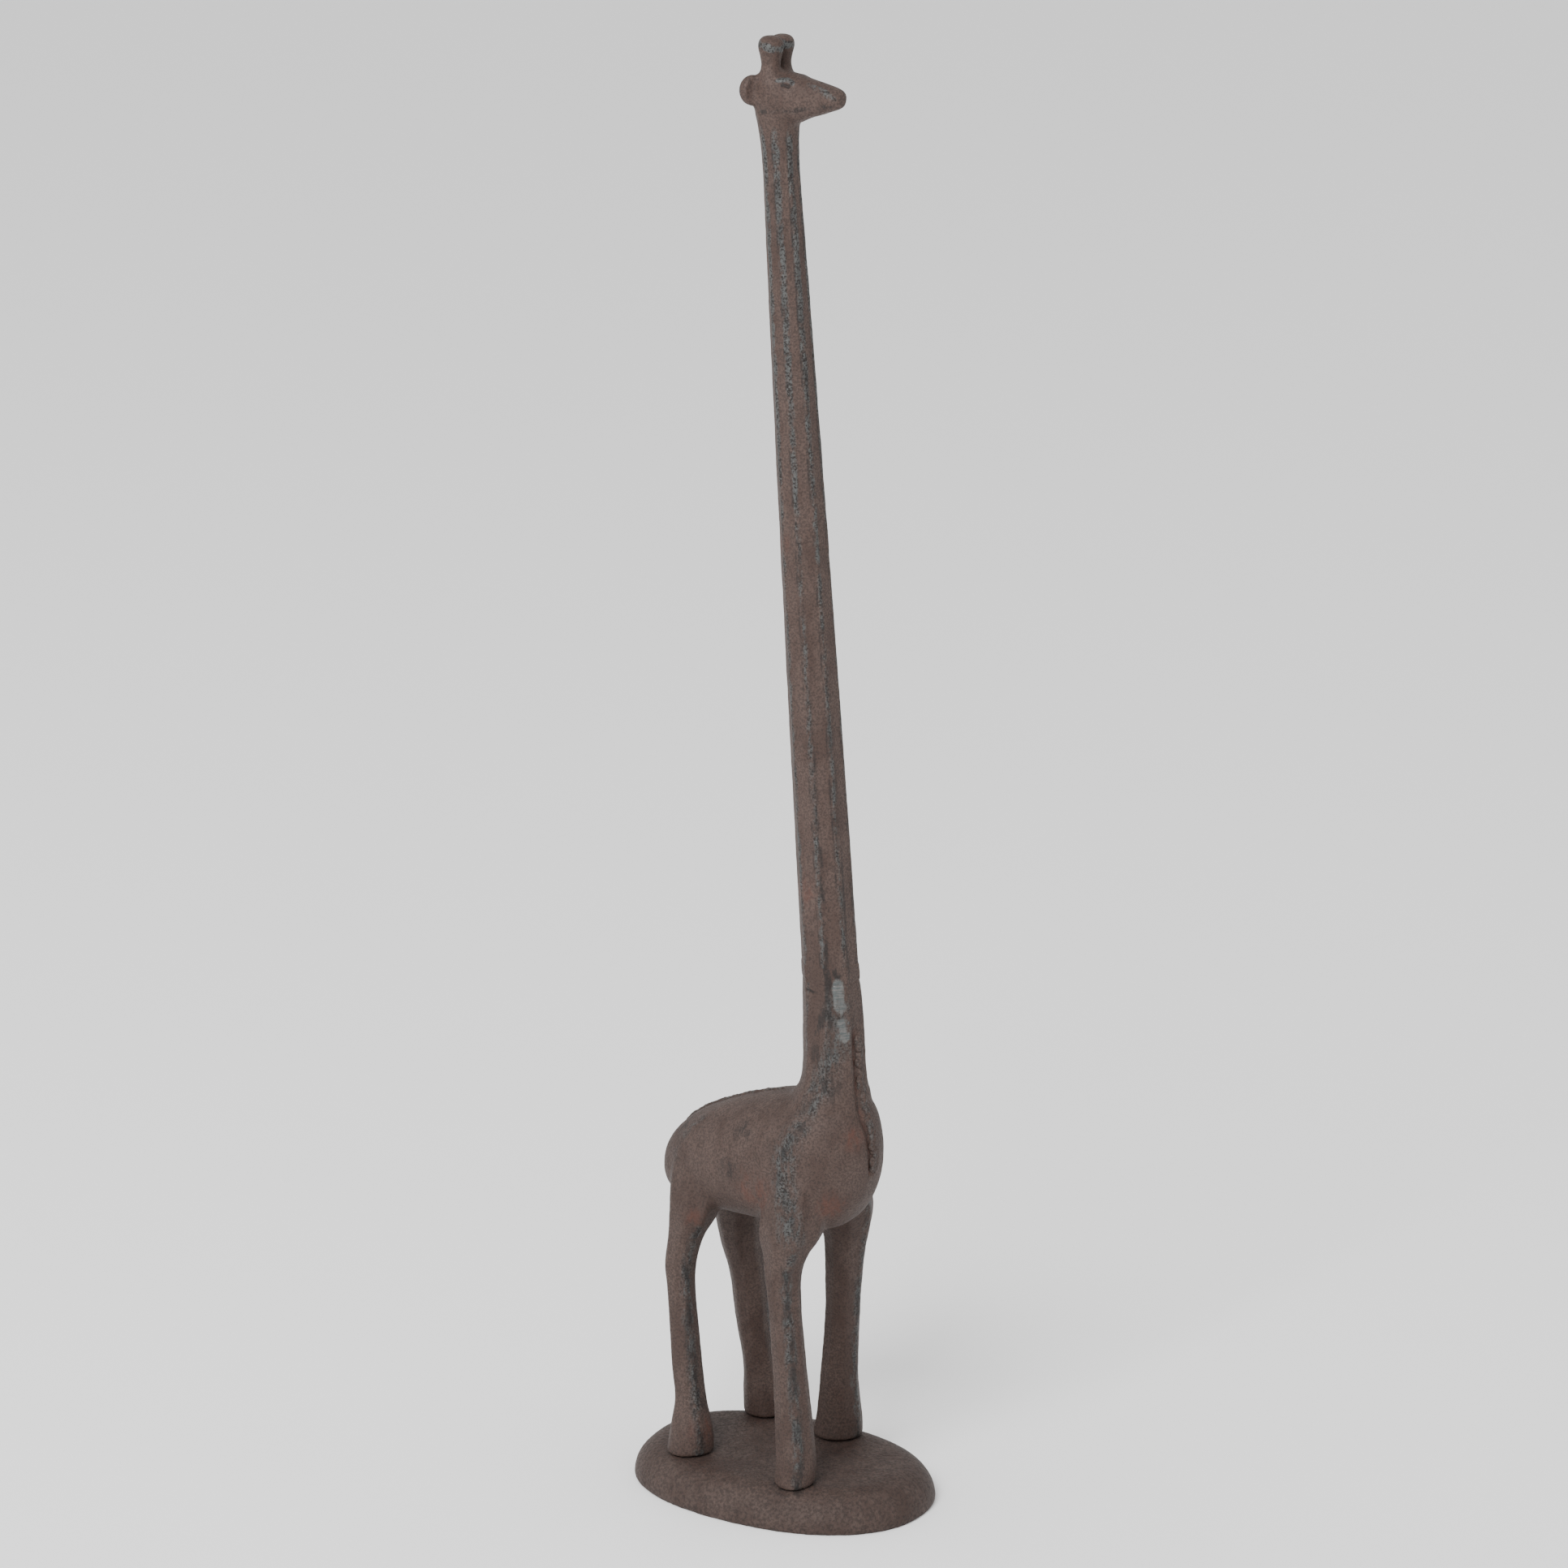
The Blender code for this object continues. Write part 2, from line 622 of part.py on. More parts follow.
def build_neck_and_head():
    foot, plain = JOINT_HEIGHT + SEAM_GAP / 2, NECK_TOP - NECK_FLARE_LENGTH
    levels = [foot + (plain - foot) * i / NECK_STEPS for i in range(NECK_STEPS + 1)]
    levels += [NECK_TOP - NECK_FLARE_LENGTH / 2, NECK_TOP - NECK_FLARE_LENGTH / 4, NECK_TOP]
    rings = []
    for level in levels:
        x, flats = neck_at(level)
        rings.append(octagon_ring(Vector((x, 0, level)), flats, flats))
    nape = octagon_ring(Vector((NECK_TOP_X, 0, NECK_TOP + NAPE_RISE)), NAPE_FLATS, NAPE_FLATS)
    neck = loft("neck_and_head", rings + [nape], PARTS, CAST_IRON)
    boolean(neck, build_skull(), "UNION")
    for side in (-1, 1):
        boolean(neck, build_ear(side), "UNION")
        boolean(neck, build_horn(side), "UNION")
    low, high = JOINT_HEIGHT - SPIGOT_LENGTH, JOINT_HEIGHT + SPIGOT_LENGTH / 2
    spigot = cylinder("spigot", NECK_FOOT_X, 0, low, high, SPIGOT_DIAMETER / 2)
    boolean(neck, spigot, "UNION")
    groove = joint_ring("neck_groove", SEAM_GAP, CUTTERS, None)
    boolean(neck, groove, "DIFFERENCE")


def build_skull():
    rings = []
    for along, rise, width, depth in HEAD_SHAPE:
        centre = Vector((HEAD_BACK_X + along * HEAD_LENGTH, 0, NECK_TOP + rise * MM))
        size = (width * HEAD_WIDTH, depth * HEAD_DEPTH)
        ring = power_ring(centre, Vector((0, 1, 0)), Vector((0, 0, 1)), *size, HEAD_SQUARENESS, HEAD_SIDES)
        rings.append(ring)
    return loft("skull", rings, CUTTERS)


def build_ear(side):
    mesh = bmesh.new()
    bmesh.ops.create_uvsphere(mesh, u_segments=12, v_segments=8, radius=0.5)
    bmesh.ops.scale(mesh, verts=mesh.verts, vec=(EAR_LENGTH, EAR_THICKNESS, EAR_HEIGHT))
    bmesh.ops.rotate(mesh, verts=mesh.verts, matrix=Matrix.Rotation(-side * EAR_SPLAY, 3, "Z"))
    place = Vector((EAR_X, side * EAR_SPREAD / 2, NECK_TOP + EAR_RISE))
    bmesh.ops.translate(mesh, verts=mesh.verts, vec=place)
    return finish_mesh("ear_%s" % ("left" if side > 0 else "right"), mesh, CUTTERS, None)


def build_horn(side):
    root = NECK_TOP + HORN_ROOT_RISE
    rings = []
    for height, thickness in HORN_SHAPE:
        centre = Vector((HORN_X, side * HORN_SPREAD / 2, root + height * HORN_HEIGHT))
        size = thickness * HORN_DIAMETER
        rings.append(level_ring(centre, size, 2))
    return loft("horn_%s" % ("left" if side > 0 else "right"), rings, CUTTERS)


def main():
    build_base()
    for leg in LEG_SHAPES:
        build_screw(leg)
        build_washer(leg)
    build_body()
    build_neck_and_head()
    joint_ring("neck_joint_weld", 0, PARTS, WELD_METAL)


main()
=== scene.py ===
"""Finished look of a cast iron giraffe stand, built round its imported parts.

A hollow body cast in two halves, an eight-sided neck with the head cast on, ragged weld seams, a domed foot
and the screws under it. Run it as a script, or read it as an add-on: one operator for each piece.
"""

import math

import bmesh
import bpy
import numpy as np
from bpy.props import FloatProperty, FloatVectorProperty, IntProperty, PointerProperty
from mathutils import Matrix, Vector


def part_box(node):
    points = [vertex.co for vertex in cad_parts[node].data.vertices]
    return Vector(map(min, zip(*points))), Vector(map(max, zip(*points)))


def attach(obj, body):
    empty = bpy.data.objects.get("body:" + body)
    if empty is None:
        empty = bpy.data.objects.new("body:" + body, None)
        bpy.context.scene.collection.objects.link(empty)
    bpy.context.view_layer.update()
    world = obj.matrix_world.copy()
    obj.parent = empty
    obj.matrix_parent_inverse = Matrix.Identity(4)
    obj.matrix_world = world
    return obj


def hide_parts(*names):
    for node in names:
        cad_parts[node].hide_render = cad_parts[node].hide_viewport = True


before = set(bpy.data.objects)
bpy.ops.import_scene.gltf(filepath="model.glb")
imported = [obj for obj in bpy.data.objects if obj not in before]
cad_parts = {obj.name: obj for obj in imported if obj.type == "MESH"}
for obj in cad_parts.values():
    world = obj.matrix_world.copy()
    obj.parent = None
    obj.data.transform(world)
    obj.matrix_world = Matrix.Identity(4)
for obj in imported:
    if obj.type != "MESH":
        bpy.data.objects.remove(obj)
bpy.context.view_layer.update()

bl_info = {
    "name": "Giraffe Stand",
    "version": (1, 0, 0),
    "blender": (4, 5, 0),
    "location": "3D View > Sidebar > Giraffe",
    "description": "Builds the finished look of a cast iron giraffe stand",
    "category": "Object",
}

MM = 0.001
# Point that the camera and the lights face
AIM = (0.0065, -0.0088, 0.250)
LEGS = ("right_hind", "right_fore", "left_fore", "left_hind")
# Gap that touching pieces keep
GAP = 0.0003

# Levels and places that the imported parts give
BASE_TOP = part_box("base_plate")[1].z
WELD_LOW, WELD_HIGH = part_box("neck_joint_weld")
JOINT = (WELD_LOW.z + WELD_HIGH.z) / 2
NECK_FOOT_X = (WELD_LOW.x + WELD_HIGH.x) / 2
SPIGOT_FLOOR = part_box("neck_and_head")[0].z

# Foot
BASE_LENGTH, BASE_WIDTH = 0.1072, 0.0746
BASE_WALL = 0.0040
BASE_SHOULDER = 0.0118
BASE_SKIRT = 0.0010
BASE_SQUARENESS = 2.25
RIM_ROUND = 0.0004
BASE_TURN = math.radians(4.6)
SEAT_RADIUS = 0.0066
SEAT_LEVEL = 0.0073
SCREW_HOLE_RADIUS = 0.0028
# Waviness of the outline: share of its reach, waves round it and where they start
OUTLINE_WAVES = ((0.0022, 3, 0.6), (0.0016, 5, 2.1))
BLUNT_END, BLUNT_END_SPREAD = 0.016, 0.5
# Reach of the painted shadow that darkens the foot's top round each hoof
HOOF_SHADOW_REACH = 0.0090

# Body
BELLY = BASE_TOP + 0.0836
TORSO_LENGTH, TORSO_WIDTH, TORSO_DEPTH = 0.0808, 0.0420, 0.0470
TORSO_MIDDLE_X = -0.0040
TORSO_WALL = 0.0045
HIND_LEG_THICKNESS, FORE_LEG_THICKNESS = 0.0102, 0.0112
HOOF_DIAMETER = 0.0146
HOOF_HEIGHT = 0.0090
SOLE_ROUND = 0.0004
# How far the edges of a hoof and of a leg have melted into a round, and how far the ridge stands out
HOOF_MELT, LEG_MELT = 0.85, 0.25
LEG_SLIMMING, LEG_RIDGE = 0.985, 0.07
SCREW_HOLE_DEPTH = 0.0108

# Neck and head
NECK_LENGTH = 0.2810
NECK_TOP = JOINT + NECK_LENGTH
NECK_TOP_X = -0.0023
NECK_FOOT_FLATS, NECK_TOP_FLATS = 0.0178, 0.0107
NECK_BELLY = 0.0008
NECK_FLARE, NECK_FLARE_LENGTH = 0.0036, 0.0190
GROOVE_DEPTH, GROOVE_HALF = 0.0021, 0.0024
JOINT_CORE = NECK_FOOT_FLATS - 2 * GROOVE_DEPTH
SPIGOT_RADIUS = 0.0045
NECK_LEAN = (NECK_FOOT_X - NECK_TOP_X) / NECK_LENGTH
HEAD_LENGTH, HEAD_DEPTH, HEAD_WIDTH = 0.0333, 0.0160, 0.0156
HEAD_BACK_X = -0.0105
NAPE_WIDTH = 0.82 * HEAD_WIDTH
JAW_SWELL = 1.04
EAR_SIZE = (0.0088, 0.0056, 0.0100)
EAR_PLACE = (-0.0066, 0.0074, 0.0076)
EAR_SPLAY = math.radians(32)
EAR_DISH = 0.62
HORN_PLACE = (-0.0028, 0.0037, 0.0121)
HORN_HEIGHTS = {-1: 0.0128, 1: 0.0121}
HORN_DIAMETERS = {-1: 0.0080, 1: 0.0078}
HORN_STAGGER = 0.0005

# Seam beads: radius, how far the paths lie under the skin, and how far the chest's lies to the left
BACK_BEAD_RADIUS, BELLY_BEAD_RADIUS = 0.00075, 0.0007
CHEST_BEAD_SUNK, BACK_BEAD_SUNK, BELLY_BEAD_SUNK = 0.0005, 0.00025, 0.0003
CHEST_BEAD_ASIDE = 0.0003
# Weld round the neck joint: half its height, how proud it stands and how far its edges fall away
RING_HALF, RING_PROUD, RING_FALL = 0.0036, 0.00045, 0.0011

# Torso from rump to chest: place along it (-1 to 1), top and underside (0 to 1 of the depth) and width
# (0 to 1 of the whole).
TORSO_SHAPE = (
    (-1.00, 0.35, 0.21, 0.17),
    (-0.97, 0.43, 0.12, 0.40),
    (-0.88, 0.55, 0.05, 0.62),
    (-0.70, 0.68, 0.01, 0.81),
    (-0.41, 0.81, 0.00, 0.95),
    (-0.07, 0.92, 0.00, 1.00),
    (0.22, 0.99, 0.00, 1.00),
    (0.47, 1.05, 0.02, 0.95),
    (0.66, 1.07, 0.04, 0.83),
    (0.83, 1.04, 0.15, 0.66),
    (0.94, 0.90, 0.31, 0.44),
    (1.00, 0.72, 0.50, 0.17),
)

# Each leg from hoof to top: height (0 at the foot's top, 1 at the belly), X and Y of its middle in
# millimetres, share of the leg's own thickness and share of the hoof's diameter.
LEG_SHAPES = {
    "right_hind": (
        (0.00, -25.4, -18.6, 0.0, 1.06),
        (0.10, -24.9, -18.5, 0.0, 0.98),
        (0.22, -25.6, -18.0, 0.65, 0.28),
        (0.33, -27.0, -17.6, 1.02, 0.0),
        (0.48, -28.6, -17.0, 0.98, 0.0),
        (0.66, -30.8, -15.9, 0.94, 0.0),
        (0.78, -31.6, -15.1, 1.04, 0.0),
        (0.90, -29.9, -14.2, 1.20, 0.0),
        (1.00, -27.8, -12.8, 1.62, 0.0),
        (1.16, -27.0, -10.0, 1.90, 0.0),
        (1.30, -27.0, -8.0, 1.60, 0.0),
    ),
    "right_fore": (
        (0.00, 19.3, -20.6, 0.0, 0.93),
        (0.10, 20.0, -20.6, 0.0, 0.90),
        (0.25, 19.0, -20.4, 0.85, 0.20),
        (0.45, 17.3, -20.0, 1.00, 0.0),
        (0.60, 15.5, -19.3, 0.97, 0.0),
        (0.75, 13.6, -18.3, 0.97, 0.0),
        (0.86, 12.5, -17.4, 1.08, 0.0),
        (0.94, 12.8, -16.2, 1.34, 0.0),
        (1.03, 13.4, -14.0, 1.86, 0.0),
        (1.20, 13.5, -11.0, 1.85, 0.0),
        (1.40, 15.0, -8.0, 1.60, 0.0),
    ),
    "left_fore": (
        (0.00, 6.5, 22.2, 0.0, 1.14),
        (0.10, 7.3, 22.0, 0.0, 1.03),
        (0.25, 7.9, 21.0, 0.85, 0.22),
        (0.42, 9.4, 19.9, 1.06, 0.0),
        (0.60, 11.2, 18.5, 1.04, 0.0),
        (0.82, 13.5, 16.2, 1.18, 0.0),
        (0.93, 14.8, 15.0, 1.38, 0.0),
        (1.05, 15.0, 13.0, 1.76, 0.0),
        (1.20, 14.0, 10.5, 1.85, 0.0),
        (1.40, 15.0, 8.0, 1.60, 0.0),
    ),
    "left_hind": (
        (0.00, -24.6, 23.4, 0.0, 1.00),
        (0.10, -25.2, 23.1, 0.0, 0.93),
        (0.22, -26.6, 22.3, 0.65, 0.28),
        (0.36, -27.6, 20.9, 1.08, 0.0),
        (0.50, -27.6, 18.9, 1.14, 0.0),
        (0.62, -27.6, 17.3, 1.18, 0.0),
        (0.75, -28.9, 15.6, 1.32, 0.0),
        (0.88, -29.0, 14.2, 1.56, 0.0),
        (1.00, -27.8, 12.5, 1.90, 0.0),
        (1.16, -27.0, 10.0, 1.95, 0.0),
        (1.30, -27.0, 8.0, 1.60, 0.0),
    ),
}

# Direction of the strong ridge down each leg, from +X towards +Y
LEG_RIDGES = {"right_hind": -31, "right_fore": -45, "left_fore": 2, "left_hind": 31}

# Neck stub from the joint down into the body: drop below the joint, X of its middle, size along X and
# along Y, in millimetres, and how far its eight edges have melted into a round (0 to 1).
STUB_SHAPE = (
    (2.7, 19.1, 17.9, 17.9, 0.10),
    (7.0, 19.5, 18.6, 18.6, 0.12),
    (22.0, 20.3, 19.6, 19.6, 0.20),
    (32.0, 20.6, 20.0, 20.6, 0.35),
    (39.0, 20.4, 21.6, 23.0, 0.55),
    (44.0, 19.2, 26.0, 26.0, 0.80),
    (60.0, 14.5, 34.0, 30.0, 1.00),
)

# Head from the back of the skull to the lips: place along it, height of its middle above the neck's top
# in millimetres, width and depth against the head's own.
HEAD_SHAPE = (
    (0.00, 6.5, 0.38, 0.40),
    (0.06, 6.2, 0.77, 0.76),
    (0.19, 6.0, 1.00, 1.00),
    (0.33, 5.7, 1.00, 0.97),
    (0.48, 5.2, 0.89, 0.96),
    (0.63, 5.7, 0.76, 0.76),
    (0.77, 6.1, 0.66, 0.61),
    (0.90, 6.4, 0.57, 0.46),
    (0.97, 6.4, 0.45, 0.35),
    (1.00, 6.3, 0.26, 0.20),
)

# Horn from its root to its tip: height and thickness against its own.
HORN_SHAPE = (
    (-0.20, 1.15), (0.08, 0.88), (0.28, 0.76), (0.50, 0.86), (0.72, 1.02), (0.87, 0.95), (0.96, 0.70),
    (1.0, 0.35),
)

# Blunt ridges down the right side in millimetres; the left side has the same ones mirrored.
SHOULDER_RIDGE = (
    (27.5, -8.6, 178), (29.0, -9.2, 165), (23.7, -11, 153), (21.3, -14, 146), (19.0, -17, 140),
    (16.2, -19.5, 131.5), (14.4, -20.8, 125.8), (14.7, -21.2, 117.6), (17.1, -21.8, 109.9),
    (19.4, -22.5, 100),
)
RUMP_RIDGE = (
    (-15.1, -8, 138.4), (-22.7, -12, 134), (-29.3, -14, 123), (-31.3, -15, 117.2), (-29.8, -17, 106.7),
    (-26.4, -18.5, 96.5),
)
# Torn edge beside the chest seam
CHEST_TEAR = (
    (30.2, -1.6, 168), (30.4, -1.9, 160), (31.2, -1.6, 152), (32.4, -2.6, 144), (34.0, -2.4, 137),
    (36.2, -1.6, 129), (36.4, -1.2, 120),
)
# Cracks round the neck joint
JOINT_CRACKS = (
    ((21.5, -8.8, 194), (24.6, -7.4, 187), (25.2, -7.0, 176), (26.4, -6.4, 171)),
    ((12.5, -8.9, 182.4), (19.0, -9.2, 181.2), (24.5, -7.4, 178.5)),
    ((10.2, -4.0, 186.5), (10.2, 4.0, 187.5), (14.0, 9.0, 188), (22.0, 9.0, 187)),
)
# Broken black smears round the joint, on the left; the right side has the same ones mirrored.
JOINT_SMEARS = (
    ((23.3, 9.0, 212), (23.5, 8.9, 196), (25.0, 7.6, 190), (26.4, 6.3, 187)),
    ((23.6, 8.9, 191), (24.6, 8.0, 183), (23.2, 9.2, 176), (21.0, 9.4, 168)),
)
# Rusty patches: middle in millimetres and radius
RUST_PATCHES = (
    ((2, -20, 112), 8.0), ((29, -13, 109), 6.5), ((-24, -18, 97), 4.0), ((33, -7, 133), 4.5),
    ((-19.5, -20, 22), 6.0), ((-20, -17, 18), 4.5), ((2, 20, 118), 5.0),
    ((-18, 18, 108), 5.0), ((10, 20, 30), 4.0),
)
# Sooty patches: middle in millimetres and radius
SOOT_PATCHES = (
    ((-33, -11, 125), 5.5), ((-31, -14, 112), 6.0), ((-3, -19, 131), 6.0), ((-8, -20, 117), 6.0),
    ((13, -20, 128), 7.0), ((18, -17, 138), 6.5), ((25, -10, 150), 7.0), ((22, -9, 160), 6.0),
    ((-30, 14, 118), 6.0), ((4, 19, 126), 7.0), ((16, -21, 22), 5.0), ((-21, -20, 30), 5.0),
)
NECK_RUST_PATCHES = (((14, -6, 215), 6), ((4, -5, 330), 5), ((-4, -4, 420), 5))
# Patches ground flat at the joint: X and Y, top and bottom, in millimetres
GROUND_PATCHES = ((26.4, -6.2, 186.0, 174.4), (28.2, -5.8, 172.6, 164.6))
# Marks on the side of the head, as X and Z in millimetres
EYELID = ((1.8, 479.2), (4.6, 479.6), (7.0, 478.7))
PUPIL = ((3.9, 478.2), (6.0, 477.8))
JAW = ((22.5, 473.2), (16.9, 471.8), (11.9, 471.1), (6.9, 470.0), (1.7, 469.6), (-3.7, 469.0))
MUZZLE_TOP = ((12, 479.4), (18, 477.4), (22, 475.2))
# Path down each ear's bowl, where shade is painted
EAR_BOWL = ((-6.0, 9.0, 478), (-6.0, 9.0, 473.5))

# How far the marks reach from their paths
RIDGE_REACH, BURNISH_REACH, LEG_RIDGE_REACH = 0.0028, 0.0055, 0.0026
TEAR_REACH, CRACK_REACH, SMEAR_REACH, GROUND_REACH = 0.0013, 0.00045, 0.0015, 0.0023
LID_REACH, PUPIL_REACH, JAW_REACH, EAR_BOWL_REACH = 0.00065, 0.00055, 0.0012, 0.0019
EDGE_REACH, CREASE_REACH, HORN_BAND_REACH, STUB_EDGE_REACH = 0.00115, 0.0005, 0.0011, 0.0009
CREASE_OFFSET = 0.0012
HORN_BAND_LEVEL, HORN_BAND_SLOPE = 0.4902, 0.3
# How far they stand out or sink in
SHOULDER_RISE, RUMP_RISE, TEAR_DEPTH, CRACK_DEPTH = 0.0005, 0.00045, 0.0009, 0.00045
LID_RISE, PUPIL_DEPTH, JAW_DEPTH = 0.0005, 0.0005, 0.00015


# --- What a user would change ---


def length(name, description, value):
    return FloatProperty(name=name, description=description, default=value, unit="LENGTH")


def colour(name, description, value):
    return FloatVectorProperty(name=name, description=description, default=value, subtype="COLOR")


class GiraffeShape(bpy.types.PropertyGroup):
    body_grain: length("Body Mesh Size", "Spacing of the points on the body", 0.00052)
    neck_grain: length("Neck Mesh Size", "Spacing of the points on the neck and head", 0.00042)
    foot_grain: length("Foot Mesh Size", "Spacing of the points on the foot", 0.0006)
    lump_size: length("Lump Size", "Width of the swells that sand casting leaves", 0.009)
    lump_height: length("Lump Height", "Height of those swells", 0.00042)
    ripple_size: length("Ripple Size", "Width of the small pits and ripples", 0.0017)
    ripple_height: length("Ripple Height", "Height of the small pits and ripples", 0.00016)
    fillet_passes: IntProperty(
        name="Fillet Passes", description="How far the inner corners are filled", default=36, min=0, max=80
    )
    bead_size: length("Bead Size", "Radius of the flash along the chest", 0.0014)


class GiraffeFinish(bpy.types.PropertyGroup):
    iron: colour("Iron", "Brown of the waxed iron", (0.042, 0.0243, 0.0190))
    pale_iron: colour("Pale Iron", "Greyer brown where it is worn", (0.069, 0.0445, 0.0365))
    # The soot colour also paints the shade round the hooves, under the head and in the ears' bowls
    soot: colour("Soot", "Dark scale in the pits", (0.008, 0.007, 0.007))
    rubbed: colour("Rubbed", "Blue-grey of rubbed edges", (0.072, 0.080, 0.080))
    # The rubbed colour also paints the highlight on the ears' outer rims
    rust: colour("Rust", "Red of the rusty patches", (0.082, 0.029, 0.019))
    ground: colour("Ground", "Grey of ground metal", (0.115, 0.112, 0.108))
    grain_size: length("Grain Size", "Width of the sand grains", 0.0007)


class GiraffeStage(bpy.types.PropertyGroup):
    floor: colour("Floor", "Colour of the floor", (0.96, 0.96, 0.96))
    sky: FloatProperty(name="Sky", description="Strength of the even light from all round", default=1.08)
    key: FloatProperty(name="Key", description="Power of the light on its right, in watts", default=58)
    fill: FloatProperty(name="Fill", description="Power of the rear light, in watts", default=4)
    azimuth: FloatProperty(
        name="Azimuth", description="Turn of the camera towards +X", default=math.radians(36), subtype="ANGLE"
    )
    pitch: FloatProperty(
        name="Pitch", description="Height of the camera above level", default=math.radians(16.65),
        subtype="ANGLE",
    )
    distance: length("Distance", "Camera to its target", 2.0)
    focal_length: FloatProperty(
        name="Focal Length", description="Lens on a 36 mm sensor, in millimetres", default=141.6
    )


# --- Meshes ---


def placed(name, data):
    """A new object in the scene."""
    item = bpy.data.objects.new(name, data)
    bpy.context.scene.collection.objects.link(item)
    return item


def mesh_data(name, mesh):
    """A mesh from a bmesh, which it frees."""
    data = bpy.data.meshes.new(name)
    mesh.to_mesh(data)
    mesh.free()
    return data


def mesh_object(name, points, faces):
    data = bpy.data.meshes.new(name)
    data.from_pydata(np.asarray(points).tolist(), [], faces)
    return placed(name, data)


def points_of(item):
    points = np.empty(len(item.data.vertices) * 3)
    item.data.vertices.foreach_get("co", points)
    return points.reshape(-1, 3)


def normals_of(item):
    normals = np.empty(len(item.data.vertices) * 3)
    item.data.vertex_normals.foreach_get("vector", normals)
    return normals.reshape(-1, 3)


def set_points(item, points):
    item.data.vertices.foreach_set("co", points.ravel())
    item.data.update()


def set_attribute(item, name, values):
    attribute = item.data.attributes.new(name, "FLOAT", "POINT")
    attribute.data.foreach_set("value", values)


def evaluated_mesh(item):
    graph = bpy.context.evaluated_depsgraph_get()
    return bpy.data.meshes.new_from_object(
        item.evaluated_get(graph), preserve_all_data_layers=True, depsgraph=graph
    )


def bake_modifiers(item):
    """The object with its modifiers applied, as a plain mesh."""
    data = evaluated_mesh(item)
    item.modifiers.clear()
    old, item.data = item.data, data
    data.name = item.name
    bpy.data.meshes.remove(old)
    return item


def skins(shapes):
    """Points and faces of closed skins, one over each list of rings, all in one mesh."""
    points, faces = [], []
    for rings in shapes:
        rings = np.asarray(rings)
        count, sides = rings.shape[:2]
        start = sum(len(part) for part in points)
        points += [rings.reshape(-1, 3), rings[[0, -1]].mean(1)]
        low, high = start + count * sides, start + count * sides + 1
        for k in range(sides):
            n = (k + 1) % sides
            faces.append((low, start + n, start + k))
            faces.append((high, start + (count - 1) * sides + k, start + (count - 1) * sides + n))
            for row in range(start, start + (count - 1) * sides, sides):
                faces.append((row + k, row + n, row + sides + n, row + sides + k))
    return np.vstack(points), faces


def fused(name, shapes, spacing):
    """One even mesh round overlapping skins."""
    item = mesh_object(name, *skins(shapes))
    remesh = item.modifiers.new("fuse", "REMESH")
    remesh.mode = "VOXEL"
    remesh.voxel_size = spacing
    return bake_modifiers(item)


def soften(item, passes, only_hollows=False, where=None):
    """Evens out the mesh; with only_hollows it fills inner corners and leaves outer ones alone."""
    points = points_of(item)
    count = len(points)
    ends = np.empty(len(item.data.edges) * 2, np.int32)
    item.data.edges.foreach_get("vertices", ends)
    share = np.bincount(ends, minlength=count).clip(1)[:, None]
    ends = ends.reshape(-1, 2)
    for _ in range(passes):
        around = np.zeros_like(points)
        for axis in range(3):
            around[:, axis] = np.bincount(ends[:, 0], points[ends[:, 1], axis], count)
            around[:, axis] += np.bincount(ends[:, 1], points[ends[:, 0], axis], count)
        move = around / share - points
        if only_hollows:
            outwards = (move * normals_of(item)).sum(1)
            move *= (outwards > 0)[:, None]
        if where is not None:
            move *= where[:, None]
        points += move / 2
        if only_hollows:
            set_points(item, points)
    set_points(item, points)


def drill(item, holes):
    """Cuts upright round holes, given as (x, y, low, high, radius)."""
    cutter = bmesh.new()
    for x, y, low, high, radius in holes:
        made = bmesh.ops.create_cone(
            cutter, cap_ends=True, segments=48, radius1=radius, radius2=radius, depth=high - low
        )
        bmesh.ops.translate(cutter, verts=made["verts"], vec=(x, y, (low + high) / 2))
    data = mesh_data("holes", cutter)
    tool = placed("holes", data)
    modifier = item.modifiers.new("drill", "BOOLEAN")
    modifier.operation = "DIFFERENCE"
    modifier.object = tool
    bake_modifiers(item)
    bpy.data.objects.remove(tool)
    bpy.data.meshes.remove(data)


def half_of(item, name, side):
    """The part of a body on one side of the middle plane, closed along the cut."""
    mesh = bmesh.new()
    mesh.from_mesh(item.data)
    bmesh.ops.bisect_plane(
        mesh, geom=mesh.verts[:] + mesh.edges[:] + mesh.faces[:], dist=1e-7,
        plane_co=(0, 0, 0), plane_no=(0, side, 0), clear_inner=True,
    )
    rim = [edge for edge in mesh.edges if edge.is_boundary]
    bmesh.ops.triangle_fill(mesh, edges=rim, use_beauty=True, normal=(0, -side, 0))
    bmesh.ops.recalc_face_normals(mesh, faces=mesh.faces)
    half = placed(name, mesh_data(name, mesh))
    for material in item.data.materials:
        half.data.materials.append(material)
    return half


def finish_piece(item, node):
    """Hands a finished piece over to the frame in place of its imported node."""
    item.data.shade_smooth()
    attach(item, "root")
    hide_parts(node)


# --- Sections and paths ---


def smooth_stations(stations, per_span):
    """Stations on a smooth curve through the given ones, by the Catmull-Rom rule."""
    stations = np.array(stations, float)
    padded = np.vstack([stations[0], stations, stations[-1]])
    rows = []
    for a, b, c, d in zip(padded, padded[1:], padded[2:], padded[3:]):
        for t in np.arange(per_span) / per_span:
            bend = (2 * a - 5 * b + 4 * c - d) * t**2 + (3 * b - a - 3 * c + d) * t**3
            rows.append(0.5 * (2 * b + (c - a) * t + bend))
    rows.append(stations[-1])
    return np.array(rows)


def turn(sides):
    return np.arange(sides) * 2 * math.pi / sides


def oval(angles, power):
    """Unit outline that is an ellipse at power 2 and squarer above it."""
    c, s = np.cos(angles), np.sin(angles)
    reach = (np.abs(c) ** power + np.abs(s) ** power) ** (-1 / power)
    return np.stack([c * reach, s * reach], 1)


